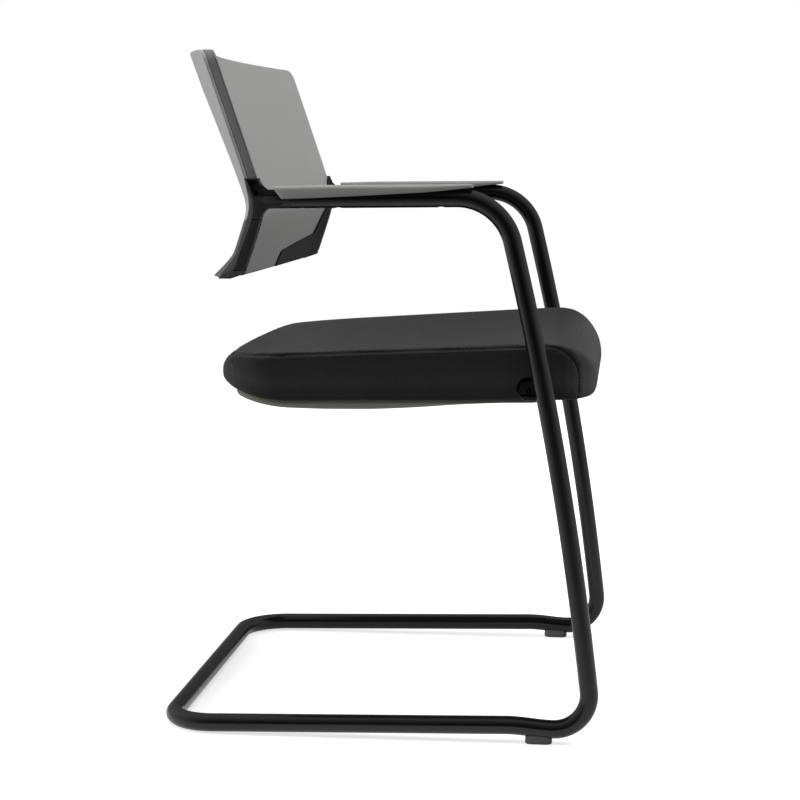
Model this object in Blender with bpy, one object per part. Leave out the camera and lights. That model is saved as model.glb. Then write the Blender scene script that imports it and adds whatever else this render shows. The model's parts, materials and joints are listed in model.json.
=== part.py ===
# Sled base visitor chair: cantilever tube frame, upholstered seat and a two-shell plastic back.
# Metres, +Z up. The sitter faces -Y. The origin is on the floor under the middle of the base.

import math

import bmesh
import bpy
from mathutils import Vector

for stale in list(bpy.data.objects):
    bpy.data.objects.remove(stale, do_unlink=True)

# Clearances
GAP = 0.0003                # between two pieces that touch
SHELL_GAP = 0.0005          # between the curved shells of the back
HOLE_PLAY = 0.0004          # a hole's radius over its screw's

# Facets
TUBE_SIDES = 12
SCREW_SIDES = 10
BACK_COLUMNS = 16

# Steel frame, sizes of the tube's centre line
TUBE_OD = 0.022
TUBE_WALL = 0.002
FRAME_WIDTH = 0.548         # between the two sides
BASE_DEPTH = 0.5115         # rear cross tube to the foremost point of the legs
ARM_HEIGHT = 0.645          # where the arm leaves the top bend
ARM_LENGTH = 0.194          # straight arm, from the top bend to the bracket
ARM_FALL = math.radians(0.5)
LEG_LEAN_LOW = math.radians(6.5)
LEG_LEAN_HIGH = math.radians(13.5)
TOP_BEND = 0.067
FRONT_BEND = 0.042
REAR_BEND = 0.057
RUNNER_RISE = 0.0095        # climb of the runner from the cross tube to the dip
DIP_LENGTH = 0.054
GLIDE_HEIGHT = 0.006        # floor to the underside of the tube in the dip

# Front glides
GLIDE_LENGTH = 0.032
GLIDE_WIDTH = 0.018
GLIDE_SETBACK = 0.0172      # glide's middle behind the end of the front bend
GLIDE_WRAP = 0.005          # how far the glide reaches up the tube
GLIDE_PIN_R = 0.003
GLIDE_PIN_LENGTH = 0.006

# Arm pads
PAD_WIDTH = 0.044
PAD_TIP_WIDTH = 0.024
PAD_LENGTH = 0.233
PAD_REAR_CROWN = 0.0041     # top above the tube, at the rear end, behind the middle and at the tip
PAD_CROWN = 0.005
PAD_TIP_CROWN = 0.0048
PAD_TIP_THICKNESS = 0.0042
PAD_SKIRT = 0.015           # depth of the sides, from the rear to the tip
PAD_SKIRT_MIDDLE = 0.0122
PAD_SKIRT_FRONT = 0.0088
PAD_REAR_OVERHANG = 0.0194  # pad's rear end past the tube's end
PAD_REAR_SLANT = 0.77
PAD_BEVEL = 0.004
PAD_SCREW_SPREAD = 0.120
PAD_SCREW_R = 0.002
PAD_SCREW_BITE = 0.0035     # how far the screw goes into the pad

# Back brackets
BRACKET_REACH = 0.0318      # tube end to the front of the back, at the fold
BRACKET_OUTER = 0.010       # bracket's outer face beyond the tube's centre line
FOLD_DROP = 0.0073          # fold of the back below the arm's centre line
PRONG_LEAD = 0.0025         # prongs stand this far in front of the panel
PRONG_WIDTH = 0.0135
PRONG_ABOVE = 0.0316        # prong ends, from the fold
PRONG_BELOW = 0.0165
PRONG_FILLET = 0.019        # above the arm and below it
PRONG_FILLET_LOW = 0.0175
PRONG_TOP_REAR = 0.014      # rear edge of the upper prong at its end, behind the panel's front
PRONG_RIB = 0.0018          # rim left round the recess
RECESS_DEPTH = 0.0085
RECESS_FLOOR = 0.003        # lower edge of the recess above the arm's centre line
RECESS_RIM_END = 0.0235     # the rim's front part ends at this height above the fold
SPIGOT_LENGTH = 0.028
BRACKET_SCREW_SETBACK = 0.014
BRACKET_SCREW_R = 0.002

# Back, heights are measured from the fold at the side edges
BACK_INSET = 0.002          # side edges of the back inside the frame's centre line
BACK_ABOVE = 0.181
BACK_BELOW = 0.0805
BACK_LEAN = math.radians(18.9)
FOLD_SOFTNESS = 0.012
BACK_SAG = 0.040            # middle of the back behind its side edges
ARCH_TOP = 0.003            # middle of the top edge above its ends
ARCH_BOTTOM = 0.0125        # middle of the bottom edge below its ends
TOP_CORNER = 0.014
BOTTOM_CORNER = 0.007
RAIL_FOOT = 0.0045          # end of the lower cover that wraps under the side rails
EDGE_THICKNESS = 0.017
BULGE_TOP = 0.016           # extra thickness in the middle, from the top edge down
BULGE_HIGH = 0.0142
BULGE_MIDDLE = 0.0055
BULGE_FOLD = 0.0005
BULGE_LOW = 0.0022
BULGE_LIP = 0.0095
LIP_HEIGHT = 0.026
LIP_FLARE = 0.012           # extra thickness of the whole bottom edge
LIP_DROP = 0.006            # both ends of the lip hang below the panel
LIP_DROP_START = 0.012      # above the bottom edge
HORN_FULL = 0.005           # cover's horn behind the bracket: full width up to here, from the fold
HORN_TIP = 0.003            # its width at the top
PANEL_THICKNESS = 0.0025
COVER_THICKNESS = 0.0025
COVER_SEAM = -0.016         # joint of the two rear covers
PANEL_LIP = 0.0012          # strip showing beside the panel above the bracket
TONGUE_INSET = 0.160        # panel outline, in from the side edges of the back
SHOULDER_INSET = 0.150
SHOULDER_RISE = 0.0195      # above the bottom edge
HIP_INSET = 0.037
HIP_RISE = 0.033
WAIST_INSET = 0.0195
WAIST_RISE = 0.067
CHEST_INSET = 0.0085
CHEST_RISE = 0.1033
CHEST_TOP_RISE = 0.111
STRIP_WIDTH = 0.010
CARRIER_WEB = 0.004
CARRIER_WALL = 0.003
RAIL_WIDTH = 0.0175
CARRIER_SCREW_R = 0.0013
CARRIER_SCREW_BITE = 0.0045
CARRIER_SCREW_HEIGHTS = (0.0145, 0.026)
CARRIER_SCREW_DEPTH = 0.0064

# Seat carrier
SEAT_AXIS_HEIGHT = 0.4195   # centre of the cross beam
LUG_REACH = 0.0205          # leg's centre line to the beam
LUG_RADIUS = 0.0105
LUG_INNER = 0.0213          # lug's faces and its ledge, in from the leg's centre line
LUG_OUTER = 0.008
LUG_LEDGE = 0.002
LEDGE_THICKNESS = 0.005
BEAM_DEPTH = 0.020
BEAM_HEIGHT = 0.018
BEAM_WALL = 0.002
PLUG_LENGTH = 0.024
SEAT_BOLT_R = 0.0025
SEAT_BOLT_LENGTH = 0.030
BAR_WIDTH = 0.030
BAR_THICKNESS = 0.005
BAR_SETBACK = 0.040         # bars end this far in front of the board's rear edge
BAR_SPREAD = 0.240
BOARD_THICKNESS = 0.012
BOARD_CORNER = 0.040
BOARD_SCREW_R = 0.0022
BOARD_SCREW_BITE = 0.009
BOARD_SCREW_SPREAD = 0.160

# Seat cushion, lengths run back from the nose and heights from the beam's centre
SEAT_SIDE = 0.029           # cushion's side inside the frame's centre line
SEAT_LENGTH = 0.4605
SEAT_NOSE = 0.0804          # nose in front of the beam
SEAM_FRONT = 0.0555         # side seam at the front and at the rear
SEAM_REAR = 0.0373
CROWN_FRONT = 0.0175
CROWN_MIDDLE = 0.0108
CROWN_REAR = 0.008
SEAT_DISH = 0.003
SEAT_UNDER_FRONT = -0.0133  # underside
SEAT_UNDER_REAR = -0.0207
NOSE_HEIGHT = 0.006         # foremost point of the nose
NOSE_LENGTH = 0.054
NOSE_UNDER_LENGTH = 0.014
TAIL_HEIGHT = 0.0095
TAIL_LENGTH = 0.034
TAIL_UNDER_LENGTH = 0.086
FRONT_CORNER = 0.044        # plan corners, along and across
FRONT_CORNER_WIDTH = 0.085
REAR_CORNER = 0.070
REAR_CORNER_WIDTH = 0.070
SIDE_PULL = 0.004           # sides drawn in between seam and hem
HEM_ROUND = 0.010
FOAM_SIDE = 0.040           # board's edge inside the cushion's side
FOAM_FRONT = 0.060
FOAM_REAR = 0.060
NOTCH_PLAY = 0.0035         # recess in the cushion round the lug

# Seat under shell
SHELL_THICKNESS = 0.003
SHELL_BOWL = 0.013          # deepest, and at its rear end
SHELL_BOWL_REAR = 0.0102
SHELL_INSET = 0.019         # shell's edge inside the cushion's side
SHELL_FRONT = 0.068
SHELL_TAIL = 0.0235         # shell's rear end in front of the cushion's
SHELL_LIP = 0.006           # solid rear rim
SHELL_SCREW_SPREAD_X = 0.330
SHELL_SCREW_SPREAD_Y = 0.150
SHELL_SCREW_R = 0.002
SHELL_BOSS_R = 0.006
SHELL_COUNTERBORE = 0.005

# Colours, roughness and metallic value of each finish
FINISHES = {
    "black_steel": ((0.006, 0.006, 0.0065, 1.0), 0.3, 0.0),
    "black_nylon": ((0.01, 0.01, 0.0105, 1.0), 0.42, 0.0),
    "grey_plastic": ((0.35, 0.35, 0.345, 1.0), 0.5, 0.0),
    "pad_grey": ((0.32, 0.315, 0.31, 1.0), 0.42, 0.0),
    "slate_plastic": ((0.065, 0.065, 0.065, 1.0), 0.5, 0.0),
    "strip_plastic": ((0.2, 0.2, 0.2, 1.0), 0.5, 0.0),
    "charcoal_plastic": ((0.045, 0.045, 0.047, 1.0), 0.5, 0.0),
    "shell_plastic": ((0.14, 0.14, 0.12, 1.0), 0.6, 0.0),
    "black_fabric": ((0.02, 0.02, 0.021, 1.0), 0.95, 0.0),
    "plywood": ((0.52, 0.36, 0.2, 1.0), 0.7, 0.0),
    "zinc_steel": ((0.5, 0.5, 0.5, 1.0), 0.35, 1.0),
    "raw_steel": ((0.18, 0.18, 0.19, 1.0), 0.45, 1.0),
}

# Values worked out from the sizes above
TUBE_R = TUBE_OD / 2
BORE_R = TUBE_R - TUBE_WALL
SIDE_X = FRAME_WIDTH / 2
REAR_Y = BASE_DEPTH / 2
FRONT_Y = -BASE_DEPTH / 2
DIP_Z = GLIDE_HEIGHT + TUBE_R
DIP_END = FRONT_Y + FRONT_BEND
DIP_START = DIP_END + DIP_LENGTH
BACK_HALF = SIDE_X - BACK_INSET
BRACKET_X = SIDE_X + BRACKET_OUTER
RAIL_HALF = BRACKET_X - GAP
INNER_DEPTH = PANEL_THICKNESS + SHELL_GAP
RAIL_DEPTH = EDGE_THICKNESS - COVER_THICKNESS - SHELL_GAP
SEAT_WIDTH = FRAME_WIDTH - 2 * SEAT_SIDE
SHELL_REAR = SEAT_LENGTH - SHELL_TAIL


def spread(first, last, steps):
    return [first + (last - first) * i / steps for i in range(steps + 1)]


def blend(value, knots):
    # straight lines between the given (position, value) knots
    if value <= knots[0][0]:
        return knots[0][1]
    for (p0, v0), (p1, v1) in zip(knots, knots[1:]):
        if value <= p1:
            return v0 + (v1 - v0) * (value - p0) / (p1 - p0)
    return knots[-1][1]


# Mesh helpers


def ring(centre, side, up, radius, sides):
    # a polygon whose flats lie at the radius
    corner = radius / math.cos(math.pi / sides)
    points = []
    for i in range(sides):
        angle = (i + 0.5) * 2 * math.pi / sides
        points.append(centre + side * (corner * math.cos(angle)) + up * (corner * math.sin(angle)))
    return points


def sweep_rings(path, radius, sides=TUBE_SIDES):
    # rings along a path, carried from point to point without twist
    legs = [(b - a).normalized() for a, b in zip(path, path[1:])]
    tangents = [legs[0]] + [(a + b).normalized() for a, b in zip(legs, legs[1:])] + [legs[-1]]
    side = Vector((1, 0, 0))
    rings = []
    previous = tangents[0]
    for point, tangent in zip(path, tangents):
        side = previous.rotation_difference(tangent) @ side
        rings.append(ring(point, side, tangent.cross(side), radius, sides))
        previous = tangent
    return rings


def add_walls(bm, rows):
    for lower, upper in zip(rows, rows[1:]):
        for i in range(len(lower)):
            j = (i + 1) % len(lower)
            bm.faces.new((lower[i], lower[j], upper[j], upper[i]))


def loft(rings):
    # a closed body through rings, with flat ends
    bm = bmesh.new()
    rows = [[bm.verts.new(point) for point in points] for points in rings]
    add_walls(bm, rows)
    bm.faces.new(rows[0])
    bm.faces.new(rows[-1])
    bmesh.ops.recalc_face_normals(bm, faces=bm.faces)
    return bm


def plate_loft(rings):
    # as loft, for long thin rings: one line out and the same number of points back
    bm = bmesh.new()
    rows = [[bm.verts.new(point) for point in points] for points in rings]
    for lower, upper in zip(rows, rows[1:]):
        for i in range(len(lower)):
            j = (i + 1) % len(lower)
            # every diagonal leans outward, so that two shells lying together have matching facets
            if abs(lower[i].co.x) < abs(lower[j].co.x):
                bm.faces.new((lower[i], lower[j], upper[j]))
                bm.faces.new((lower[i], upper[j], upper[i]))
            else:
                bm.faces.new((lower[i], lower[j], upper[i]))
                bm.faces.new((lower[j], upper[j], upper[i]))
    for row in (rows[0], rows[-1]):
        count = len(row)
        for i in range(count // 2 - 1):
            bm.faces.new((row[i], row[i + 1], row[count - 2 - i], row[count - 1 - i]))
    bmesh.ops.recalc_face_normals(bm, faces=bm.faces)
    return bm


def hollow_loft(outer, inner):
    # a pipe, open at both ends
    bm = bmesh.new()
    outside = [[bm.verts.new(point) for point in points] for points in outer]
    inside = [[bm.verts.new(point) for point in points] for points in inner]
    add_walls(bm, outside)
    add_walls(bm, inside)
    for end in (0, -1):
        count = len(outside[end])
        for i in range(count):
            j = (i + 1) % count
            bm.faces.new((outside[end][i], outside[end][j], inside[end][j], inside[end][i]))
    bmesh.ops.recalc_face_normals(bm, faces=bm.faces)
    return bm


def across(direction):
    # two directions square to the given one
    side = Vector((1, 0, 0)) if abs(direction.x) < 0.5 else Vector((0, 1, 0))
    side = (side - direction * side.dot(direction)).normalized()
    return side, direction.cross(side)


def turned(start, direction, profile, sides):
    # a body turned about an axis, from (distance, radius) steps
    side, up = across(direction)
    return loft([ring(start + direction * along, side, up, radius, sides) for along, radius in profile])


def cylinder(start, end, radius, sides=SCREW_SIDES):
    length = (end - start).length
    return turned(start, (end - start).normalized(), ((0, radius), (length, radius)), sides)


def prism(outline, low_x, high_x):
    # an outline in the YZ plane, drawn out along X
    return loft([[Vector((x, y, z)) for y, z in outline] for x in (low_x, high_x)])


def slab(outline, low_z, high_z):
    # an outline in the XY plane, drawn out along Z
    return loft([[Vector((x, y, z)) for x, y in outline] for z in (low_z, high_z)])


def block(low, high):
    corners = ((low[0], low[1]), (high[0], low[1]), (high[0], high[1]), (low[0], high[1]))
    return slab(corners, low[2], high[2])


def fillet(before, corner, after, radius, steps):
    # an arc that rounds a corner between two straight lines, no larger than they have room for
    corner = Vector(corner)
    to_before = Vector(before) - corner
    to_after = Vector(after) - corner
    half = to_before.angle(to_after) / 2
    radius = min(radius, 0.98 * min(to_before.length, to_after.length) * math.tan(half))
    to_before.normalize()
    to_after.normalize()
    centre = corner + (to_before + to_after).normalized() * (radius / math.sin(half))
    first = corner + to_before * (radius / math.tan(half)) - centre
    last = corner + to_after * (radius / math.tan(half)) - centre
    turn = first.angle_signed(last)
    points = []
    for part in spread(0, turn, steps):
        spoke = Vector((first.x * math.cos(part) + first.y * math.sin(part),
                        first.y * math.cos(part) - first.x * math.sin(part)))
        points.append(tuple(centre + spoke))
    return points


def rounded_rectangle(low, high, radius, steps):
    corners = ((low[0], low[1]), (high[0], low[1]), (high[0], high[1]), (low[0], high[1]))
    points = []
    for i in range(4):
        points += fillet(corners[i - 1], corners[i], corners[(i + 1) % 4], radius, steps)
    return points


def crossing(a, b, c, d):
    # where the line a-b meets the line c-d
    ab = Vector(b) - Vector(a)
    cd = Vector(d) - Vector(c)
    share = (Vector(c) - Vector(a)).cross(cd) / ab.cross(cd)
    return tuple(Vector(a) + ab * share)


# Object helpers


def finish(name, bm, finish_name, smooth_angle=math.radians(35)):
    colour, roughness, metallic = FINISHES[finish_name]
    material = bpy.data.materials.new(name)
    material.use_nodes = True
    shader = material.node_tree.nodes["Principled BSDF"]
    shader.inputs["Base Color"].default_value = colour
    shader.inputs["Roughness"].default_value = roughness
    shader.inputs["Metallic"].default_value = metallic
    material.diffuse_color = colour
    mesh = bpy.data.meshes.new(name)
    bm.to_mesh(mesh)
    bm.free()
    mesh.shade_smooth()
    mesh.set_sharp_from_angle(angle=smooth_angle)
    mesh.materials.append(material)
    piece = bpy.data.objects.new(name, mesh)
    bpy.context.scene.collection.objects.link(piece)
    return piece


def shape(piece, tools, operation):
    # one Boolean for all the given bodies, which stay in the file as hidden guides
    for number, bm in enumerate(tools):
        name = f"{piece.name}_{operation.lower()}_{number}"
        mesh = bpy.data.meshes.new(name)
        bm.to_mesh(mesh)
        bm.free()
        guide = bpy.data.objects.new(name, mesh)
        guide.hide_render = True
        guide.display_type = "WIRE"
        bpy.context.scene.collection.objects.link(guide)
        modifier = piece.modifiers.new(name, "BOOLEAN")
        modifier.operation = operation
        modifier.solver = "EXACT"
        modifier.object = guide


def cut(piece, *tools):
    shape(piece, tools, "DIFFERENCE")


def join(piece, *tools):
    shape(piece, tools, "UNION")


HEAD_RATIO = 1.75           # a screw's head to its shank


def grub(name, start, direction, radius, length):
    # a headless screw with a socket
    profile = ((length * 0.3, radius * 0.6), (0, radius * 0.6), (0, radius), (length, radius))
    return finish(name, turned(start, direction, profile, SCREW_SIDES), "raw_steel")


def screw(name, seat, direction, shank_r, length, finish_name="zinc_steel"):
    # a socket screw whose head lies on the seat; its sizes follow the shank
    head_r = shank_r * HEAD_RATIO
    head_h = shank_r * 1.1
    socket_r = shank_r * 0.8
    profile = (
        (-GAP - head_h * 0.45, socket_r),
        (-GAP - head_h, socket_r),
        (-GAP - head_h, head_r * 0.8),
        (-GAP - head_h * 0.5, head_r),
        (-GAP, head_r),
        (-GAP, shank_r),
        (length, shank_r),
    )
    return finish(name, turned(seat, direction, profile, SCREW_SIDES), finish_name)


def hole(seat, direction, shank_r, length, lead=0.0):
    # the hole for such a screw, open from the given lead in front of its seat
    return cylinder(seat - direction * (lead + GAP), seat + direction * (length + GAP), shank_r + HOLE_PLAY)


# Frame


def runner_z(y):
    return TUBE_R + RUNNER_RISE * (REAR_Y - y) / (REAR_Y - DIP_START)


LEG_FOOT = (DIP_END - FRONT_BEND * math.cos(LEG_LEAN_LOW),
            DIP_Z + FRONT_BEND * (1 + math.sin(LEG_LEAN_LOW)))
LEG_TOP_Z = ARM_HEIGHT + TOP_BEND * (math.sin(LEG_LEAN_HIGH) - math.cos(ARM_FALL))
LEG_BOW = (LEG_TOP_Z - LEG_FOOT[1]) / (math.sin(LEG_LEAN_HIGH) - math.sin(LEG_LEAN_LOW))


def leg_point(lean):
    return (LEG_FOOT[0] + LEG_BOW * (math.cos(LEG_LEAN_LOW) - math.cos(lean)),
            LEG_FOOT[1] + LEG_BOW * (math.sin(lean) - math.sin(LEG_LEAN_LOW)))


def leg_y(z):
    lean = math.asin(math.sin(LEG_LEAN_LOW) + (z - LEG_FOOT[1]) / LEG_BOW)
    return leg_point(lean)[0]


def side_path():
    # centre line of one side in YZ: runner, dip, front bend, bowed leg, top bend and arm
    points = [(REAR_Y - REAR_BEND, runner_z(REAR_Y - REAR_BEND))]
    for share in spread(0, 1, 6):
        ease = (1 - math.cos(math.pi * share)) / 2
        drop = (runner_z(DIP_START) - DIP_Z) * ease
        points.append((DIP_START - DIP_LENGTH * share, runner_z(DIP_START) - drop))
    for angle in spread(0, math.pi / 2, 7)[1:] + [math.pi / 2 + LEG_LEAN_LOW]:
        points.append((DIP_END - FRONT_BEND * math.sin(angle), DIP_Z + FRONT_BEND * (1 - math.cos(angle))))
    points += [leg_point(lean) for lean in spread(LEG_LEAN_LOW, LEG_LEAN_HIGH, 5)[1:]]
    top_y, top_z = leg_point(LEG_LEAN_HIGH)
    centre = (top_y + TOP_BEND * math.cos(LEG_LEAN_HIGH), top_z - TOP_BEND * math.sin(LEG_LEAN_HIGH))
    for lean in spread(LEG_LEAN_HIGH, math.pi / 2 + ARM_FALL, 7)[1:]:
        points.append((centre[0] - TOP_BEND * math.cos(lean), centre[1] + TOP_BEND * math.sin(lean)))
    arm_y, arm_z = points[-1]
    points.append((arm_y + ARM_LENGTH * math.cos(ARM_FALL), arm_z - ARM_LENGTH * math.sin(ARM_FALL)))
    return points


SIDE_PATH = side_path()
ARM_END = SIDE_PATH[-1]
ARM_START = SIDE_PATH[-2]
ARM_BACKWARD = Vector((0, math.cos(ARM_FALL), -math.sin(ARM_FALL)))
ARM_UP = Vector((0, math.sin(ARM_FALL), math.cos(ARM_FALL)))


def arm_point(side, before_end):
    # a point on the arm's centre line, measured forward from the tube's end
    return Vector((side * SIDE_X, *ARM_END)) - ARM_BACKWARD * before_end


def frame_path():
    corner = []
    for angle in spread(math.pi / 2, 0, 6)[:-1]:
        y = REAR_Y - REAR_BEND + REAR_BEND * math.sin(angle)
        corner.append(Vector((SIDE_X - REAR_BEND + REAR_BEND * math.cos(angle), y, runner_z(y))))
    right = corner + [Vector((SIDE_X, y, z)) for y, z in SIDE_PATH]
    left = [Vector((-point.x, point.y, point.z)) for point in reversed(right)]
    return left + right


def tube_room(side):
    # the tube of one side with its clearance, to cut seats for what sits on it
    path = [Vector((side * SIDE_X, y, z)) for y, z in SIDE_PATH]
    path.append(path[-1] + ARM_BACKWARD * BRACKET_REACH)
    return loft(sweep_rings(path, TUBE_R + GAP))


PAD_MIDDLE = ARM_LENGTH / 2 + PAD_REAR_OVERHANG
PAD_SCREW_PLACES = (PAD_MIDDLE - PAD_SCREW_SPREAD / 2, PAD_MIDDLE + PAD_SCREW_SPREAD / 2)
GLIDE_Y = DIP_END + GLIDE_SETBACK


def build_frame():
    path = frame_path()
    pipe = hollow_loft(sweep_rings(path, TUBE_R), sweep_rings(path, BORE_R))
    tube = finish("frame_tube", pipe, "black_steel")
    for side in (-1, 1):
        for place in PAD_SCREW_PLACES:
            middle = arm_point(side, place)
            cut(tube, cylinder(middle, middle + ARM_UP * TUBE_OD, PAD_SCREW_R + HOLE_PLAY))
            cut(tube, cylinder(middle - ARM_UP * TUBE_OD, middle, PAD_SCREW_R * HEAD_RATIO + 2 * HOLE_PLAY))
        middle = arm_point(side, BRACKET_SCREW_SETBACK)
        cut(tube, cylinder(middle - ARM_UP * TUBE_OD, middle, BRACKET_SCREW_R + HOLE_PLAY))
        foot = Vector((side * SIDE_X, GLIDE_Y, DIP_Z))
        cut(tube, cylinder(foot - Vector((0, 0, TUBE_OD)), foot, GLIDE_PIN_R + HOLE_PLAY))


def build_glide(side, name):
    x = side * SIDE_X
    front = GLIDE_Y - GLIDE_LENGTH / 2
    rear = GLIDE_Y + GLIDE_LENGTH / 2
    half = GLIDE_WIDTH / 2
    outline = rounded_rectangle((x - half, front), (x + half, rear), GLIDE_WIDTH / 3, 3)
    glide = finish(name, slab(outline, 0, GLIDE_HEIGHT + GLIDE_WRAP), "black_nylon")
    cut(glide, tube_room(side))
    pin_foot = Vector((x, GLIDE_Y, GLIDE_HEIGHT / 2))
    pin_top = Vector((x, GLIDE_Y, DIP_Z - BORE_R + GLIDE_PIN_LENGTH))
    join(glide, cylinder(pin_foot, pin_top, GLIDE_PIN_R))


# Arm pads


def build_pad(side, name):
    # wedge with a deep slanted rear end, a thin tip and sides that hang down beside the tube
    x = side * SIDE_X
    rear_end = -PAD_REAR_OVERHANG
    rings = []
    for share in (0.0, 0.06, 0.25, 0.5, 0.75, 0.92, 1.0):
        along = rear_end + PAD_LENGTH * share
        half = blend(share, ((0, PAD_WIDTH * 0.42), (0.06, PAD_WIDTH * 0.48), (0.3, PAD_WIDTH / 2),
                             (0.75, PAD_WIDTH * 0.45), (1, PAD_TIP_WIDTH / 2)))
        crown = TUBE_R + blend(share, ((0, PAD_REAR_CROWN), (0.2, PAD_CROWN), (1, PAD_TIP_CROWN)))
        thickness = blend(share, ((0.2, PAD_SKIRT), (0.5, PAD_SKIRT_MIDDLE), (0.8, PAD_SKIRT_FRONT),
                                  (1, PAD_TIP_THICKNESS)))
        bevel = min(PAD_BEVEL, thickness * 0.45)
        slant = PAD_REAR_SLANT * (1 - share) ** 6
        section = ((-half, -thickness), (-half, -bevel), (bevel - half, -bevel * 0.2), (0, 0),
                   (half - bevel, -bevel * 0.2), (half, -bevel), (half, -thickness))
        points = []
        for across_x, down in section:
            point = arm_point(side, along - slant * down) + ARM_UP * (crown + down)
            points.append(Vector((x + across_x, point.y, point.z)))
        rings.append(points)
    pad = finish(name, loft(rings), "pad_grey")
    cut(pad, tube_room(side))
    cut(pad, prism(bracket_outline(GAP), side * (BACK_HALF - TUBE_OD), side * (BRACKET_X + GAP)))
    head_seat = math.sqrt(BORE_R ** 2 - (PAD_SCREW_R * HEAD_RATIO) ** 2) - GAP
    for number, place in enumerate(PAD_SCREW_PLACES, 1):
        seat = arm_point(side, place) + ARM_UP * head_seat
        length = TUBE_R - head_seat + PAD_SCREW_BITE
        cut(pad, hole(seat, ARM_UP, PAD_SCREW_R, length))
        screw(f"{name}_screw_{number}", seat, ARM_UP, PAD_SCREW_R, length)


# Back surface


PRONG_REAR = PRONG_WIDTH - PRONG_LEAD
FOLD_Y = ARM_END[0] + BRACKET_REACH
FOLD_Z = ARM_END[1] - FOLD_DROP


def back_fall(h):
    # how far the side edge lies behind the fold at a height
    return math.tan(BACK_LEAN) * (math.hypot(h, FOLD_SOFTNESS) - FOLD_SOFTNESS)


def back_point(x, h, depth):
    # a point of the back at a distance across, a height from the fold and a depth behind its front
    middle = max(1 - (x / BACK_HALF) ** 2, 0)
    arch = blend(h, ((-BACK_BELOW, -ARCH_BOTTOM), (BACK_ABOVE, ARCH_TOP)))
    return Vector((x, FOLD_Y + back_fall(h) + BACK_SAG * middle + depth, FOLD_Z + h + arch * middle))


LIP_TOP = LIP_HEIGHT - BACK_BELOW
BULGES = (
    (-BACK_BELOW, BULGE_LIP),
    (LIP_TOP - LIP_HEIGHT / 3, (BULGE_LIP + BULGE_LOW) / 2),
    (LIP_TOP, BULGE_LOW),
    (0, BULGE_FOLD),
    (0.3 * BACK_ABOVE, BULGE_MIDDLE),
    (0.76 * BACK_ABOVE, BULGE_HIGH),
    (BACK_ABOVE, BULGE_TOP),
)


def cover_front(x, h):
    # inner side of the covers
    middle = max(1 - (x / BACK_HALF) ** 2, 0)
    return EDGE_THICKNESS - COVER_THICKNESS + blend(h, BULGES) * middle


def back_depth(x, h):
    # full thickness of the back, with the flared lip of the lower cover
    lip = max(1 - (h + BACK_BELOW) / LIP_HEIGHT, 0) ** 1.5
    return cover_front(x, h) + COVER_THICKNESS + LIP_FLARE * lip


def top_half(h, half):
    # half width at a height, with the rounded top corners
    over = h - (BACK_ABOVE - TOP_CORNER)
    if over <= 0:
        return half
    return half - TOP_CORNER + math.sqrt(max(TOP_CORNER ** 2 - over ** 2, 0))


PANEL_OUTLINE = (
    (-BACK_BELOW, BACK_HALF - TONGUE_INSET),
    (SHOULDER_RISE - BACK_BELOW, BACK_HALF - SHOULDER_INSET),
    (HIP_RISE - BACK_BELOW, BACK_HALF - HIP_INSET),
    (WAIST_RISE - BACK_BELOW, BACK_HALF - WAIST_INSET),
    (CHEST_RISE - BACK_BELOW, BACK_HALF - CHEST_INSET),
    (CHEST_TOP_RISE - BACK_BELOW, BACK_HALF - PANEL_LIP),
)


def panel_half(h):
    return min(blend(h, PANEL_OUTLINE), top_half(h, BACK_HALF - PANEL_LIP))


def rail_half(h):
    # outer side of the rails, with rounded bottom corners; the back is narrower beside the bracket
    if h > -PRONG_BELOW - 1.5 * GAP:
        return BACK_HALF
    under = BOTTOM_CORNER - (h + BACK_BELOW)
    if under <= 0:
        return RAIL_HALF
    return RAIL_HALF - BOTTOM_CORNER + math.sqrt(max(BOTTOM_CORNER ** 2 - under ** 2, 0))


STEP_ROWS = [-PRONG_BELOW - 2 * GAP, -PRONG_BELOW - GAP]
FOLD_ROWS = [0.012 * i for i in range(-1, 4)]
CORNER_ROWS = [BACK_ABOVE - TOP_CORNER * (1 - math.sin(a)) for a in spread(0, math.pi / 2, 4)]
FOOT_ROWS = [BOTTOM_CORNER * (1 - math.cos(a)) - BACK_BELOW for a in spread(0, math.pi / 2, 3)]
KNOT_ROWS = [h for h, half in PANEL_OUTLINE] + spread(PANEL_OUTLINE[1][0], PANEL_OUTLINE[2][0], 4)[1:-1]
LIP_ROWS = [h for h, bulge in BULGES if h < 0]
UPPER_ROWS = spread(0.3 * BACK_ABOVE, BACK_ABOVE - TOP_CORNER, 3)


def rows_between(low, high, *groups):
    # sorted heights inside the limits, with both limits, none closer than the gap
    heights = sorted(h for group in groups for h in group if low + GAP < h < high - GAP)
    rows = [low]
    for h in heights:
        if h - rows[-1] > GAP * 0.9:
            rows.append(h)
    return rows + [high]


def plate_ring(h, half, front, rear):
    columns = spread(-half, half, BACK_COLUMNS)
    out = [back_point(x, h, front(x, h)) for x in columns]
    back = [back_point(x, h, rear(x, h)) for x in reversed(columns)]
    return out + back


def stepped_line(h, half, step, outer_depth, inner_depth):
    # depths that change at a step near both ends of the line; the inner one depends on x
    ramp = GAP
    columns = spread(-step, step, BACK_COLUMNS)
    points = [back_point(-half, h, outer_depth), back_point(-step - ramp, h, outer_depth)]
    points += [back_point(x, h, inner_depth(x)) for x in columns]
    return points + [back_point(step + ramp, h, outer_depth), back_point(half, h, outer_depth)]


def build_front_panel():
    groups = (KNOT_ROWS, FOLD_ROWS, FOOT_ROWS, LIP_ROWS, UPPER_ROWS, CORNER_ROWS)
    rows = rows_between(-BACK_BELOW, BACK_ABOVE, *groups)
    rings = [plate_ring(h, panel_half(h), lambda x, h: 0, lambda x, h: PANEL_THICKNESS) for h in rows]
    finish("back_front_panel", plate_loft(rings), "grey_plastic")


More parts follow.
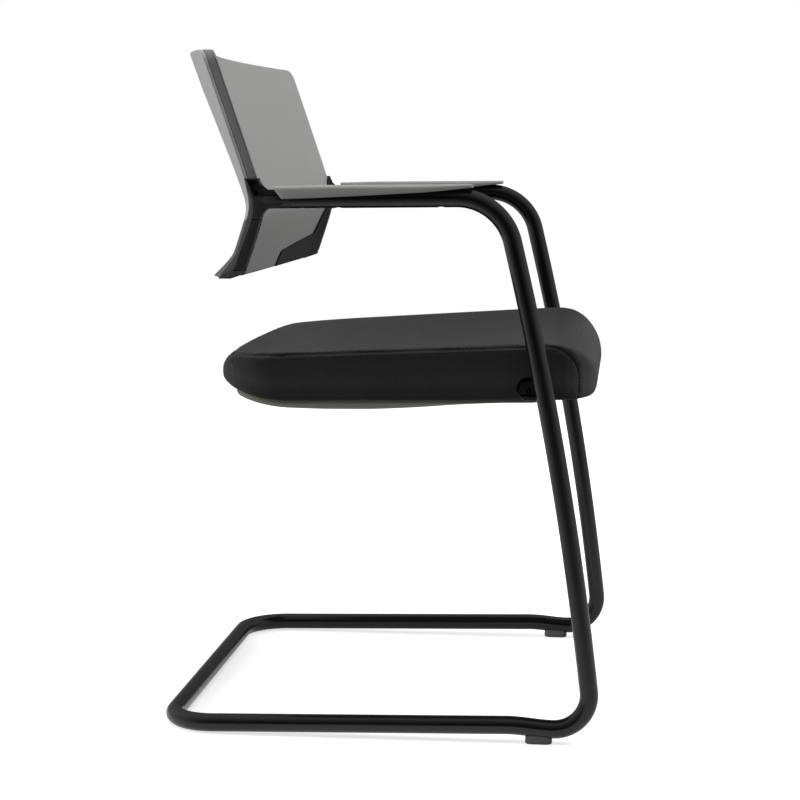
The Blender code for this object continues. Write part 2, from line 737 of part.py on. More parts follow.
def build_rear_cover():
    # thin shell with a top flange that reaches forward to the panel
    flange = BACK_ABOVE - COVER_THICKNESS
    flange_half = BACK_HALF - TOP_CORNER - 4 * GAP
    low = COVER_SEAM + GAP / 2
    rings = []
    for h in rows_between(low, BACK_ABOVE, FOLD_ROWS, UPPER_ROWS, CORNER_ROWS, [flange - 2 * GAP, flange]):
        half = top_half(h, BACK_HALF)
        shoulder = flange_half + 2 * GAP
        columns = [-half, -shoulder] + spread(-flange_half, flange_half, BACK_COLUMNS) + [shoulder, half]
        inner = []
        for x in columns:
            in_flange = h >= flange - GAP / 2 and abs(x) < flange_half + GAP
            inner.append(back_point(x, h, INNER_DEPTH if in_flange else cover_front(x, h)))
        outer = [back_point(x, h, back_depth(x, h)) for x in reversed(columns)]
        rings.append(inner + outer)
    finish("back_rear_cover", plate_loft(rings), "grey_plastic")


def lip_point(x, h, depth):
    # point of the lower cover; the ends of its lip hang down, most at the rear
    low = max(1 - (h + BACK_BELOW) / LIP_DROP_START, 0) ** 1.5
    end = min(abs(x) / BACK_HALF, 1) ** 6
    return back_point(x, h - LIP_DROP * low * end * min(depth / RAIL_DEPTH, 1), depth)


def prong_rear(h):
    return blend(h, ((-PRONG_BELOW, RAIL_DEPTH), (0, PRONG_REAR), (PRONG_ABOVE, PRONG_TOP_REAR)))


def cover_horn(side):
    # the cover's end runs up behind the bracket to the edge strip
    inner_x = BACK_HALF + GAP
    rings = []
    for h in [-PRONG_BELOW - RAIL_FOOT, -PRONG_BELOW] + spread(0, PRONG_ABOVE - GAP, 5):
        outer_x = blend(h, ((HORN_FULL, BRACKET_X - GAP), (PRONG_ABOVE, inner_x + HORN_TIP)))
        front = prong_rear(h) + GAP
        rear = EDGE_THICKNESS - GAP
        corners = ((inner_x, front), (outer_x, front), (outer_x, rear), (inner_x, rear))
        rings.append([back_point(side * x, h, depth) for x, depth in corners])
    return loft(rings)


def build_lower_cover():
    # shell behind the carrier and the rails, with a foot at both ends that reaches forward under the rails
    high = COVER_SEAM - GAP / 2
    foot_rows = [RAIL_FOOT - BACK_BELOW, RAIL_FOOT - BACK_BELOW + GAP]
    rings = []
    for h in rows_between(-BACK_BELOW, high, FOOT_ROWS, foot_rows, LIP_ROWS, KNOT_ROWS, STEP_ROWS, FOLD_ROWS):
        half = rail_half(h)
        foot_x = min(BACK_HALF + 2 * GAP, half - GAP)
        inner_x = foot_x - GAP
        columns = [-half, -foot_x] + spread(-inner_x, inner_x, BACK_COLUMNS) + [foot_x, half]
        in_foot = h < foot_rows[0] + GAP / 2
        inner = []
        for x in columns:
            depth = 0 if in_foot and abs(x) > inner_x + GAP / 2 else cover_front(x, h)
            inner.append(lip_point(x, h, depth))
        outer = [lip_point(x, h, back_depth(x, h)) for x in reversed(columns)]
        rings.append(inner + outer)
    cover = finish("back_lower_cover", plate_loft(rings), "slate_plastic")
    join(cover, cover_horn(-1), cover_horn(1))


def build_rail(side, name):
    # proud side rail between the bracket's lower prong and the foot of the lower cover
    inner_x = side * (BACK_HALF + GAP)
    low = RAIL_FOOT - BACK_BELOW + 2 * GAP
    rings = []
    for h in rows_between(low, -PRONG_BELOW - 2 * GAP, FOOT_ROWS, LIP_ROWS, KNOT_ROWS):
        outer_x = side * rail_half(h)
        corners = ((inner_x, 0), (outer_x, 0), (outer_x, RAIL_DEPTH), (inner_x, RAIL_DEPTH))
        rings.append([back_point(x, h, depth) for x, depth in corners])
    finish(name, loft(rings), "black_nylon")


CARRIER_TOP = PRONG_ABOVE - GAP


def carrier_screw_seat(side, h, x):
    point = back_point(side * BACK_HALF, h, CARRIER_SCREW_DEPTH)
    return Vector((side * x, point.y, point.z))


def build_carrier():
    # tray behind the panel: front face flush beside the panel, rear side open between its walls
    walls = [CARRIER_WALL - BACK_BELOW, CARRIER_WALL - BACK_BELOW + GAP]
    walls += [CARRIER_TOP - CARRIER_WALL - GAP, CARRIER_TOP - CARRIER_WALL]
    rows = rows_between(-BACK_BELOW, CARRIER_TOP, KNOT_ROWS, LIP_ROWS, FOLD_ROWS, walls)
    pocket_half = BACK_HALF - RAIL_WIDTH
    rings = []
    for h in rows:
        in_wall = h < walls[1] - GAP / 2 or h > walls[2] + GAP / 2

        def web(x):
            return cover_front(x, h) - SHELL_GAP if in_wall else INNER_DEPTH + CARRIER_WEB
        front = stepped_line(h, BACK_HALF, panel_half(h) + SHELL_GAP, 0, lambda x: INNER_DEPTH)
        rear = stepped_line(h, BACK_HALF, pocket_half, RAIL_DEPTH, web)
        rings.append(front + rear[::-1])
    carrier = finish("back_carrier", plate_loft(rings), "charcoal_plastic")
    for side in (-1, 1):
        inward = Vector((-side, 0, 0))
        for h in CARRIER_SCREW_HEIGHTS:
            seat = carrier_screw_seat(side, h, BACK_HALF)
            cut(carrier, hole(seat, inward, CARRIER_SCREW_R, CARRIER_SCREW_BITE, GAP))


def build_strip(side, name):
    # band between panel and cover, from the bracket up the side edge and round the top corner
    corner_x = BACK_HALF - TOP_CORNER
    corner_h = BACK_ABOVE - TOP_CORNER
    inner_r = max(TOP_CORNER - STRIP_WIDTH, GAP)
    pairs = [((corner_x + inner_r, h), (BACK_HALF, h))
             for h in rows_between(PRONG_ABOVE, corner_h, FOLD_ROWS, UPPER_ROWS)]
    for a in spread(0, math.pi / 2, 4)[1:]:
        radii = (inner_r, TOP_CORNER)
        pairs.append([(corner_x + r * math.cos(a), corner_h + r * math.sin(a)) for r in radii])
    rings = []
    for inner, outer in pairs:
        front = [back_point(side * x, h, INNER_DEPTH) for x, h in (inner, outer)]
        rear = [back_point(side * x, h, cover_front(x, h) - SHELL_GAP) for x, h in (outer, inner)]
        rings.append(front + rear)
    finish(name, loft(rings), "strip_plastic")


# Back brackets


def prong_edge(h, offset):
    return (FOLD_Y + back_fall(h) + offset, FOLD_Z + h)


NECK_Y = ARM_END[0] + TUBE_R * 0.7


def bracket_outline(margin):
    # Y shape in YZ; the lower prong widens to run into the side rail of the back
    neck = TUBE_R * 0.65 + margin
    root = ARM_END[1]
    foot = prong_edge(-PRONG_BELOW, -margin)
    knee = prong_edge(-PRONG_BELOW / 2, -PRONG_LEAD / 2 - margin)
    head = prong_edge(PRONG_ABOVE + margin, -PRONG_LEAD - margin)
    chest = prong_edge(PRONG_ABOVE / 2, -PRONG_LEAD - margin)
    under = ((NECK_Y, root - neck), (FOLD_Y, root - TUBE_R * 1.05 - margin))
    over = ((NECK_Y, root + neck), (FOLD_Y, root + TUBE_R * 0.95 + margin))
    low_corner = crossing(*under, foot, knee)
    high_corner = crossing(*over, head, chest)
    outline = [under[0]]
    outline += fillet(under[0], low_corner, foot, PRONG_FILLET_LOW, 5)
    outline.append(foot)
    for h in [-PRONG_BELOW] + spread(0, PRONG_ABOVE + margin, 5):
        outline.append(prong_edge(h, prong_rear(h)))
    outline.append(head)
    outline += fillet(head, high_corner, over[0], PRONG_FILLET, 5)
    outline.append(over[0])
    return outline


def build_bracket(side, name):
    # Y-shaped plate beside the back, with a round collar and a spigot in the tube's end
    inner_x = BACK_HALF + GAP
    bracket = finish(name, prism(bracket_outline(0), side * inner_x, side * BRACKET_X), "black_nylon")

    collar_length = BRACKET_REACH - 4 * GAP
    spigot_r = BORE_R - GAP
    spigot = ((-SPIGOT_LENGTH, spigot_r * 0.85), (-SPIGOT_LENGTH + BORE_R / 4, spigot_r), (GAP, spigot_r),
              (GAP, TUBE_R), (collar_length, TUBE_R))
    axis_end = arm_point(side, 0)
    rings = [ring(axis_end + ARM_BACKWARD * along, Vector((1, 0, 0)), ARM_UP, radius, TUBE_SIDES)
             for along, radius in spigot]
    join(bracket, loft(rings))

    recess_x = side * (BRACKET_X - RECESS_DEPTH)
    heights = spread(RECESS_FLOOR + FOLD_DROP, PRONG_ABOVE - PRONG_RIB, 4)
    recess = [prong_edge(h, prong_rear(h) - PRONG_RIB) for h in heights]
    recess += [prong_edge(h, PRONG_RIB - PRONG_LEAD) for h in (heights[-1], RECESS_RIM_END)]
    recess += [(NECK_Y, recess[-1][1]), (NECK_Y, ARM_END[1] + RECESS_FLOOR)]
    cut(bracket, prism(recess, recess_x, side * (BRACKET_X + TUBE_OD)))

    start = axis_end - ARM_BACKWARD * BRACKET_SCREW_SETBACK - ARM_UP * (TUBE_R - GAP)
    cut(bracket, hole(start, ARM_UP, BRACKET_SCREW_R, TUBE_R))
    grub(f"{name}_screw", start, ARM_UP, BRACKET_SCREW_R, TUBE_R)

    inward = Vector((-side, 0, 0))
    for number, h in enumerate(CARRIER_SCREW_HEIGHTS, 1):
        seat = carrier_screw_seat(side, h, BRACKET_X - RECESS_DEPTH)
        length = BRACKET_X - RECESS_DEPTH - BACK_HALF + CARRIER_SCREW_BITE
        cut(bracket, hole(seat, inward, CARRIER_SCREW_R, length))
        screw_name = f"carrier_screw_{name.split('_')[-1]}_{number}"
        screw(screw_name, seat, inward, CARRIER_SCREW_R, length, "raw_steel")


# Seat carrier


BEAM_Y = leg_y(SEAT_AXIS_HEIGHT) + LUG_REACH
BEAM_HALF = SIDE_X - LUG_INNER - GAP
NOSE_Y = BEAM_Y - SEAT_NOSE
BOARD_LOW = SEAT_AXIS_HEIGHT + BEAM_HEIGHT / 2 + GAP
BOARD_HIGH = BOARD_LOW + BOARD_THICKNESS
BAR_HIGH = BOARD_LOW - GAP
BAR_LOW = BAR_HIGH - BAR_THICKNESS
BAR_FRONT = BEAM_Y + BEAM_DEPTH / 2 + GAP
BOARD_HALF = SEAT_WIDTH / 2 - FOAM_SIDE
BOARD_FRONT = NOSE_Y + FOAM_FRONT
BOARD_REAR = NOSE_Y + SEAT_LENGTH - FOAM_REAR
BAR_LENGTH = BOARD_REAR - BAR_SETBACK - BAR_FRONT
SHELL_MIDDLE = (BAR_FRONT + BOARD_REAR) / 2
SHELL_HALF = SEAT_WIDTH / 2 - SHELL_INSET


def lug_outline(radius, front):
    points = [(front, SEAT_AXIS_HEIGHT - radius)]
    for angle in spread(-math.pi / 2, math.pi / 2, 8):
        points.append((BEAM_Y + radius * math.cos(angle), SEAT_AXIS_HEIGHT + radius * math.sin(angle)))
    return points + [(front, SEAT_AXIS_HEIGHT + radius)]


def build_lug(side, name):
    outer_x = SIDE_X - LUG_OUTER
    outline = lug_outline(LUG_RADIUS, leg_y(SEAT_AXIS_HEIGHT))
    plate = prism(outline, side * (SIDE_X - LUG_INNER), side * (SIDE_X - LUG_LEDGE))
    lug = finish(name, plate, "black_steel")
    cut(lug, tube_room(side))
    low = (side * outer_x, BEAM_Y - 3 * LUG_RADIUS, SEAT_AXIS_HEIGHT - LUG_RADIUS + LEDGE_THICKNESS)
    high = (side * SIDE_X, BEAM_Y + 3 * LUG_RADIUS, SEAT_AXIS_HEIGHT + 3 * LUG_RADIUS)
    cut(lug, block(low, high))
    seat = Vector((side * outer_x, BEAM_Y, SEAT_AXIS_HEIGHT))
    inward = Vector((-side, 0, 0))
    cut(lug, hole(seat, inward, SEAT_BOLT_R, SEAT_BOLT_LENGTH, GAP))
    screw(f"{name}_bolt", seat, inward, SEAT_BOLT_R, SEAT_BOLT_LENGTH, "raw_steel")

    plug_half_y = BEAM_DEPTH / 2 - BEAM_WALL - GAP
    plug_half_z = BEAM_HEIGHT / 2 - BEAM_WALL - GAP
    low = (side * BEAM_HALF, BEAM_Y - plug_half_y, SEAT_AXIS_HEIGHT - plug_half_z)
    high = (side * (BEAM_HALF - PLUG_LENGTH), BEAM_Y + plug_half_y, SEAT_AXIS_HEIGHT + plug_half_z)
    plug = finish(f"beam_plug_{name.split('_')[-1]}", block(low, high), "raw_steel")
    cut(plug, hole(seat, inward, SEAT_BOLT_R, SEAT_BOLT_LENGTH))


def build_beam():
    def section(x, inset):
        low = (BEAM_Y - BEAM_DEPTH / 2 + inset, SEAT_AXIS_HEIGHT - BEAM_HEIGHT / 2 + inset)
        high = (BEAM_Y + BEAM_DEPTH / 2 - inset, SEAT_AXIS_HEIGHT + BEAM_HEIGHT / 2 - inset)
        return [Vector((x, low[0], low[1])), Vector((x, high[0], low[1])),
                Vector((x, high[0], high[1])), Vector((x, low[0], high[1]))]
    ends = (-BEAM_HALF, BEAM_HALF)
    bm = hollow_loft([section(x, 0) for x in ends], [section(x, BEAM_WALL) for x in ends])
    finish("seat_cross_beam", bm, "black_steel")


UP = Vector((0, 0, 1))


def board_screw_seats(x):
    middle = BAR_FRONT + BAR_LENGTH / 2
    half = BOARD_SCREW_SPREAD / 2
    return [Vector((x, middle + offset, BAR_LOW)) for offset in (-half, half)]


def build_bar(side, name):
    x = side * BAR_SPREAD / 2
    low = (x - BAR_WIDTH / 2, BAR_FRONT, BAR_LOW)
    high = (x + BAR_WIDTH / 2, BAR_FRONT + BAR_LENGTH, BAR_HIGH)
    bar = finish(name, block(low, high), "black_steel")
    for number, seat in enumerate(board_screw_seats(x), 1):
        length = BAR_THICKNESS + BOARD_SCREW_BITE
        cut(bar, hole(seat, UP, BOARD_SCREW_R, length, GAP))
        screw(f"board_screw_{name.split('_')[-1]}_{number}", seat, UP, BOARD_SCREW_R, length)


def shell_screw_seats():
    # seats at the bottom of the counterbores
    half_x = SHELL_SCREW_SPREAD_X / 2
    half_y = SHELL_SCREW_SPREAD_Y / 2
    places = [(x, SHELL_MIDDLE + y) for x in (-half_x, half_x) for y in (-half_y, half_y)]
    return [Vector((x, y, shell_low(x, y) + SHELL_COUNTERBORE)) for x, y in places]


def build_board():
    outline = rounded_rectangle((-BOARD_HALF, BOARD_FRONT), (BOARD_HALF, BOARD_REAR), BOARD_CORNER, 4)
    board = finish("seat_board", slab(outline, BOARD_LOW, BOARD_HIGH), "plywood")
    for x in (-BAR_SPREAD / 2, BAR_SPREAD / 2):
        for seat in board_screw_seats(x):
            cut(board, hole(seat, UP, BOARD_SCREW_R, BAR_THICKNESS + BOARD_SCREW_BITE))
    for seat in shell_screw_seats():
        cut(board, hole(seat, UP, SHELL_SCREW_R, BOARD_LOW - seat.z + BOARD_SCREW_BITE))


# Seat cushion


def seat_u(y):
    return y - NOSE_Y


def seam_height(u):
    return SEAM_FRONT + (SEAM_REAR - SEAM_FRONT) * min(u / SEAT_LENGTH, 1)


def under_height(u):
    return SEAT_UNDER_FRONT + (SEAT_UNDER_REAR - SEAT_UNDER_FRONT) * min(u / SEAT_LENGTH, 1)


def rounded_end(u, full, nose, tail):
    # a height that eases to the nose and to the tail along a rounded curve of a length and a power
    for distance, end, (length, power) in ((u, NOSE_HEIGHT, nose), (SEAT_LENGTH - u, TAIL_HEIGHT, tail)):
        if distance < length:
            share = (1 - (1 - max(distance, 0) / length) ** power) ** (1 / power)
            return end + (full - end) * share
    return full


TOP_ENDS = ((NOSE_LENGTH, 2), (TAIL_LENGTH, 2))
UNDER_ENDS = ((NOSE_UNDER_LENGTH, 2.5), (TAIL_UNDER_LENGTH, 1.55))


def cushion_half(u):
    # plan outline, with rounded corners
    half = SEAT_WIDTH / 2
    corners = ((u, FRONT_CORNER, FRONT_CORNER_WIDTH), (SEAT_LENGTH - u, REAR_CORNER, REAR_CORNER_WIDTH))
    for distance, length, width in corners:
        if distance < length:
            half += width * (math.sqrt(max(1 - (1 - distance / length) ** 2, 0)) - 1)
    return half


def cushion_under(u):
    return rounded_end(u, under_height(u), *UNDER_ENDS)


def cushion_section(u):
    # closed ring in XZ: crowned top, drawn-in sides, rounded hem and flat underside
    half = cushion_half(u)
    crown = blend(u / SEAT_LENGTH, ((0.2, CROWN_FRONT), (0.58, CROWN_MIDDLE), (1, CROWN_REAR)))
    seam = rounded_end(u, seam_height(u), *TOP_ENDS)
    top = rounded_end(u, seam_height(u) + crown, *TOP_ENDS)
    under = cushion_under(u)
    dish = SEAT_DISH * math.sin(math.pi * u / SEAT_LENGTH)
    hem = min(HEM_ROUND, (seam - under) * 0.3)
    right = []
    for share in (0.0, 0.25, 0.5, 0.7, 0.84, 0.93, 0.98):
        height = seam + (top - seam) * math.sqrt(1 - share ** 6) - dish * (1 - share) ** 2
        right.append((half * share, height))
    for share in (0.0, 0.35, 0.7, 1.0):
        pull = SIDE_PULL * math.sin(math.pi * share) + hem * 0.3 * share ** 4
        right.append((half - pull, seam + (under + hem - seam) * share))
    right.append((half - hem, under))
    right.append((half * 0.55, under))
    left = [(-x, z) for x, z in reversed(right) if x > 0]
    return [Vector((x, NOSE_Y + u, SEAT_AXIS_HEIGHT + z)) for x, z in right + left]


def build_cushion():
    nose = [NOSE_LENGTH * (1 - math.cos(a)) for a in spread(0.16, math.pi / 2, 6)]
    tail = [SEAT_LENGTH - TAIL_UNDER_LENGTH * (1 - math.cos(a)) for a in spread(math.pi / 2, 0.16, 6)]
    stations = nose + spread(nose[-1], tail[0], 7)[1:-1] + tail
    cushion = finish("seat_cushion", loft([cushion_section(u) for u in stations]), "black_fabric")
    deep = SEAT_AXIS_HEIGHT - 4 * BEAM_HEIGHT
    room_half = BOARD_HALF + GAP
    outline = rounded_rectangle((-room_half, BOARD_FRONT - GAP), (room_half, BOARD_REAR + GAP),
                                BOARD_CORNER, 4)
    cut(cushion, slab(outline, deep, BOARD_HIGH + GAP))
    notch = LUG_RADIUS + NOTCH_PLAY
    arch = lug_outline(notch, BEAM_Y - notch)
    arch[0] = (arch[0][0], deep)
    arch.insert(1, (BEAM_Y + notch, deep))
    for side in (-1, 1):
        cut(cushion, prism(arch, side * (BOARD_HALF - BOARD_CORNER), side * SIDE_X))


# Seat under shell


def shell_bowl(u):
    length = SHELL_REAR - SHELL_FRONT
    return blend((u - SHELL_FRONT) / length, ((0, 0), (0.26, 0.46 * SHELL_BOWL), (0.4, 0.8 * SHELL_BOWL),
                                              (0.54, SHELL_BOWL), (0.72, 0.97 * SHELL_BOWL),
                                              (0.85, SHELL_BOWL_REAR), (1, SHELL_BOWL_REAR)))


def shell_half(u):
    return min(SHELL_HALF, cushion_half(u) - SHELL_INSET)


def shell_low(x, y):
    # lower face of the shell: close under the cushion at its sides, deeper in the middle
    u = seat_u(y)
    flat = 1 - min(abs(x) / shell_half(u), 1) ** 12
    return SEAT_AXIS_HEIGHT + cushion_under(u) - 2 * GAP - SHELL_THICKNESS - shell_bowl(u) * flat


def shell_high(x, y):
    # upper face, which rises to the cushion over the rear rim
    if seat_u(y) > SHELL_REAR - SHELL_LIP / 2:
        return SEAT_AXIS_HEIGHT + cushion_under(seat_u(y)) - 2 * GAP
    return shell_low(x, y) + SHELL_THICKNESS


def build_shell():
    rings = []
    rim = SHELL_REAR - SHELL_LIP
    for u in spread(SHELL_FRONT, rim, 12) + [rim + SHELL_LIP * 0.52, SHELL_REAR]:
        y = NOSE_Y + u
        half = shell_half(u)
        columns = [half * math.sin(a) for a in spread(-math.pi / 2, math.pi / 2, 14)]
        high = [Vector((x, y, shell_high(x, y))) for x in columns]
        low = [Vector((x, y, shell_low(x, y))) for x in reversed(columns)]
        rings.append(high + low)
    shell = finish("seat_under_shell", plate_loft(rings), "shell_plastic")
    for number, seat in enumerate(shell_screw_seats(), 1):
        boss_low = seat - UP * (SHELL_COUNTERBORE - SHELL_THICKNESS / 2)
        join(shell, cylinder(boss_low, Vector((seat.x, seat.y, BOARD_LOW - GAP)), SHELL_BOSS_R))
        length = BOARD_LOW - seat.z + BOARD_SCREW_BITE
        head_r = SHELL_SCREW_R * HEAD_RATIO + HOLE_PLAY
        cut(shell, cylinder(seat - UP * 2 * SHELL_COUNTERBORE, seat, head_r))
        cut(shell, hole(seat, UP, SHELL_SCREW_R, length))
        screw(f"shell_screw_{number}", seat, UP, SHELL_SCREW_R, length)


build_frame()
build_beam()
build_board()
build_cushion()
build_shell()
build_front_panel()
build_rear_cover()
build_lower_cover()
build_carrier()
for side_sign, side_name in ((-1, "left"), (1, "right")):
    build_glide(side_sign, f"glide_{side_name}")
    build_pad(side_sign, f"arm_pad_{side_name}")
    build_bracket(side_sign, f"back_bracket_{side_name}")
    build_strip(side_sign, f"back_edge_strip_{side_name}")
    build_rail(side_sign, f"back_side_rail_{side_name}")
    build_lug(side_sign, f"seat_lug_{side_name}")
    build_bar(side_sign, f"seat_bar_{side_name}")
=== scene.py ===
import json
from math import asin, cos, exp, hypot, pi, radians, sin, sqrt, tan

import bmesh
import bpy
from mathutils import Matrix, Vector
from mathutils.bvhtree import BVHTree
from mathutils.kdtree import KDTree


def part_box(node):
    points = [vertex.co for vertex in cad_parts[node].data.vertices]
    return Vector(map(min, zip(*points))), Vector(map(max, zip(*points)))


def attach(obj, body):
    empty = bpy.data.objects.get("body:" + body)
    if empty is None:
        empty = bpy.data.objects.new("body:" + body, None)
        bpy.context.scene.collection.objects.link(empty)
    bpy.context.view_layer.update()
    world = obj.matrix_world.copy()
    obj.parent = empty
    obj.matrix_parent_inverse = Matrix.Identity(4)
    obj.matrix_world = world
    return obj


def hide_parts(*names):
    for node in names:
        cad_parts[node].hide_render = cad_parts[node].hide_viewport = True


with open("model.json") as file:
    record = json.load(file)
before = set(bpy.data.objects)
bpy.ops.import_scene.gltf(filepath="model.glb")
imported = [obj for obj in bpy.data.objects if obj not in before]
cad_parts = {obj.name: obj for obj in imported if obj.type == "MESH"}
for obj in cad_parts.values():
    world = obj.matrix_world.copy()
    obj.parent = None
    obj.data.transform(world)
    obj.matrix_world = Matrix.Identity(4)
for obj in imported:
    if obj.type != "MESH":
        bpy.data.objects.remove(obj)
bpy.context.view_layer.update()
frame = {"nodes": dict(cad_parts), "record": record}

scene = bpy.context.scene
alongX, alongY, up = [Vector(row) for row in Matrix.Identity(3)]
gap = 0.0003  # between two pieces that touch, as in the frame
print("frame loaded:", len(frame["nodes"]), "nodes")


# Small sums

def spread(first, last, steps):
    return [first + (last - first) * i / steps for i in range(steps + 1)]


def quarter(steps):  # angles of a quarter turn
    return spread(0, pi / 2, steps)


def blend(value, knots):  # straight lines between (place, value) knots
    if value <= knots[0][0]:
        return knots[0][1]
    for (p0, v0), (p1, v1) in zip(knots, knots[1:]):
        if value <= p1:
            return v0 + (v1 - v0) * (value - p0) / (p1 - p0)
    return knots[-1][1]


def softBlend(value, knots, reach):  # the same lines with their corners rounded off
    return sum(blend(value + reach * i / 6, knots) for i in range(-6, 7)) / 13


def rim(distance, radius):  # how far a rounded edge falls back at a distance from it
    inside = radius - min(max(distance, 0), radius)
    return radius - sqrt(max(radius ** 2 - inside ** 2, 0))


# Mesh tools

def wallBetween(bm, rows):
    for lower, upper in zip(rows, rows[1:]):
        for i in range(len(lower)):
            j = (i + 1) % len(lower)
            bm.faces.new((lower[i], lower[j], upper[j], upper[i]))


def addLoft(bm, rings, plate=False):  # closed body through rings, which run out and back for a plate
    rows = [[bm.verts.new(point) for point in points] for points in rings]
    wallBetween(bm, rows)
    for row in (rows[0], rows[-1]):
        last = len(row) - 1
        ends = [row]
        if plate:
            ends = [(row[i], row[i + 1], row[last - 1 - i], row[last - i]) for i in range(last // 2)]
        for corners in ends:
            bm.faces.new(corners)


def loft(rings, plate=False):
    bm = bmesh.new()
    addLoft(bm, rings, plate)
    bmesh.ops.recalc_face_normals(bm, faces=bm.faces)
    return bm


def circle(centre, side, upward, radius, sides):
    turns = [2 * pi * i / sides for i in range(sides)]
    return [centre + side * (radius * cos(a)) + upward * (radius * sin(a)) for a in turns]


def sweep(path, radius, sides):  # rings along a path, carried on without twist
    legs = [(b - a).normalized() for a, b in zip(path, path[1:])]
    tangents = [legs[0]] + [(a + b).normalized() for a, b in zip(legs, legs[1:])] + [legs[-1]]
    side = alongX
    before = tangents[0]
    rings = []
    for point, tangent in zip(path, tangents):
        side = before.rotation_difference(tangent) @ side
        rings.append(circle(point, side, tangent.cross(side), radius, sides))
        before = tangent
    return rings


def rod(start, end, radius, sides=32):
    along = (end - start).normalized()
    side = alongX if abs(along.x) < 0.5 else alongY
    side = (side - along * side.dot(along)).normalized()
    return loft([circle(point, side, along.cross(side), radius, sides) for point in (start, end)])


def post(x, y, lowZ, highZ, radius):
    return rod(Vector((x, y, lowZ)), Vector((x, y, highZ)), radius)


def levelRing(outline, z):
    return [Vector((x, y, z)) for x, y in outline]


def otherSide(point):
    return Vector((-point.x, point.y, point.z))


def prism(outline, lowX, highX):  # an outline in YZ drawn out along X
    return loft([[Vector((x, y, z)) for y, z in outline] for x in (lowX, highX)])


def block(low, high):
    corners = ((low[1], low[2]), (high[1], low[2]), (high[1], high[2]), (low[1], high[2]))
    return prism(corners, low[0], high[0])


def fillet(before, corner, after, radius, steps):  # arc between two straight lines
    corner = Vector(corner)
    toBefore = (Vector(before) - corner).normalized()
    toAfter = (Vector(after) - corner).normalized()
    half = toBefore.angle(toAfter) / 2
    room = min((Vector(before) - corner).length, (Vector(after) - corner).length) * tan(half) * 0.98
    radius = min(radius, room)
    centre = corner + (toBefore + toAfter).normalized() * (radius / sin(half))
    first = corner + toBefore * (radius / tan(half)) - centre
    last = corner + toAfter * (radius / tan(half)) - centre
    turn = first.angle_signed(last)
    points = []
    for part in spread(0, turn, steps):
        spoke = Vector((first.x * cos(part) + first.y * sin(part),
                        first.y * cos(part) - first.x * sin(part)))
        points.append(tuple(centre + spoke))
    return points


def roundedRectangle(low, high, radius, steps):
    corners = ((low[0], low[1]), (high[0], low[1]), (high[0], high[1]), (low[0], high[1]))
    points = []
    for i in range(4):
        points += fillet(corners[i - 1], corners[i], corners[(i + 1) % 4], radius, steps)
    return points


def crossing(a, b, c, d):  # where the line a-b meets the line c-d
    ab = Vector(b) - Vector(a)
    cd = Vector(d) - Vector(c)
    share = (Vector(c) - Vector(a)).cross(cd) / ab.cross(cd)
    return tuple(Vector(a) + ab * share)


def drawnIn(outline, distance):  # the outline moved inward by a small distance
    count = len(outline)
    area = sum(outline[i - 1][0] * outline[i][1] - outline[i][0] * outline[i - 1][1] for i in range(count))
    turn = 1 if area > 0 else -1
    points = []
    for i in range(count):
        here = Vector(outline[i])
        into = (here - Vector(outline[i - 1])).normalized()
        out = (Vector(outline[(i + 1) % count]) - here).normalized()
        along = (into + out).normalized()
        push = distance / max(along.dot(into), 0.5)
        points.append(tuple(here + Vector((-along.y, along.x)) * (turn * push)))
    return points


def roundedPrism(outline, lowX, highX, radius):  # prism with rounded rims on both faces
    turns = quarter(4)
    step = 1 if highX > lowX else -1
    levels = [(lowX + step * radius * (1 - sin(a)), radius * (1 - cos(a))) for a in reversed(turns)]
    levels += [(highX - step * radius * (1 - sin(a)), radius * (1 - cos(a))) for a in turns]
    return loft([[Vector((x, y, z)) for y, z in drawnIn(outline, inset)] for x, inset in levels])


def newObject(name, bm):
    mesh = bpy.data.meshes.new(name)
    bm.to_mesh(mesh)
    bm.free()
    made = bpy.data.objects.new(name, mesh)
    scene.collection.objects.link(made)
    return made


def makePiece(name, bm, slot, nodes, sharp=35):
    piece = newObject(name, bm)
    smoothOut(piece, sharp)
    piece.data.materials.append(finishes[slot])
    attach(piece, "root")
    if nodes:
        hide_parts(*nodes)
    return piece


def smoothOut(piece, sharp):
    piece.data.shade_smooth()
    piece.data.set_sharp_from_angle(angle=radians(sharp))


def settle(piece):  # takes the piece's modifiers into its mesh
    shown = piece.evaluated_get(bpy.context.evaluated_depsgraph_get())
    mesh = bpy.data.meshes.new_from_object(shown)
    piece.modifiers.clear()
    piece.data = mesh


def carve(piece, tools, operation="DIFFERENCE", sharp=35):
    for number, bm in enumerate(tools):
        tool = newObject(f"tool{number}", bm)
        mesh = tool.data
        cut = piece.modifiers.new("cut", "BOOLEAN")
        cut.operation = operation
        cut.solver = "EXACT"
        cut.object = tool
        settle(piece)
        bpy.data.objects.remove(tool, do_unlink=True)
        bpy.data.meshes.remove(mesh)
    smoothOut(piece, sharp)


# Finishes

class Wire:  # a socket that can be reckoned with
    def __init__(self, tree, socket=None):
        self.tree = tree
        self.socket = socket

    def node(self, kind, settings, sockets, output=0):
        made = self.tree.nodes.new(kind)
        for name, value in settings.items():
            setattr(made, name, value)
        for name, value in sockets.items():
            if isinstance(value, Wire):
                self.tree.links.new(value.socket, made.inputs[name])
            else:
                made.inputs[name].default_value = value
        return Wire(self.tree, made.outputs[output]) if made.outputs else None

    def maths(self, operation, *values):
        return self.node("ShaderNodeMath", {"operation": operation}, dict(enumerate(values)))

    def __add__(self, other):
        return self.maths("ADD", self, other)

    def __sub__(self, other):
        return self.maths("SUBTRACT", self, other)

    def __rsub__(self, other):
        return self.maths("SUBTRACT", other, self)

    def __mul__(self, other):
        return self.maths("MULTIPLY", self, other)

    def __truediv__(self, other):
        return self.maths("DIVIDE", self, other)

    def __gt__(self, other):
        return self.maths("GREATER_THAN", self, other)

    __radd__ = __add__
    __rmul__ = __mul__


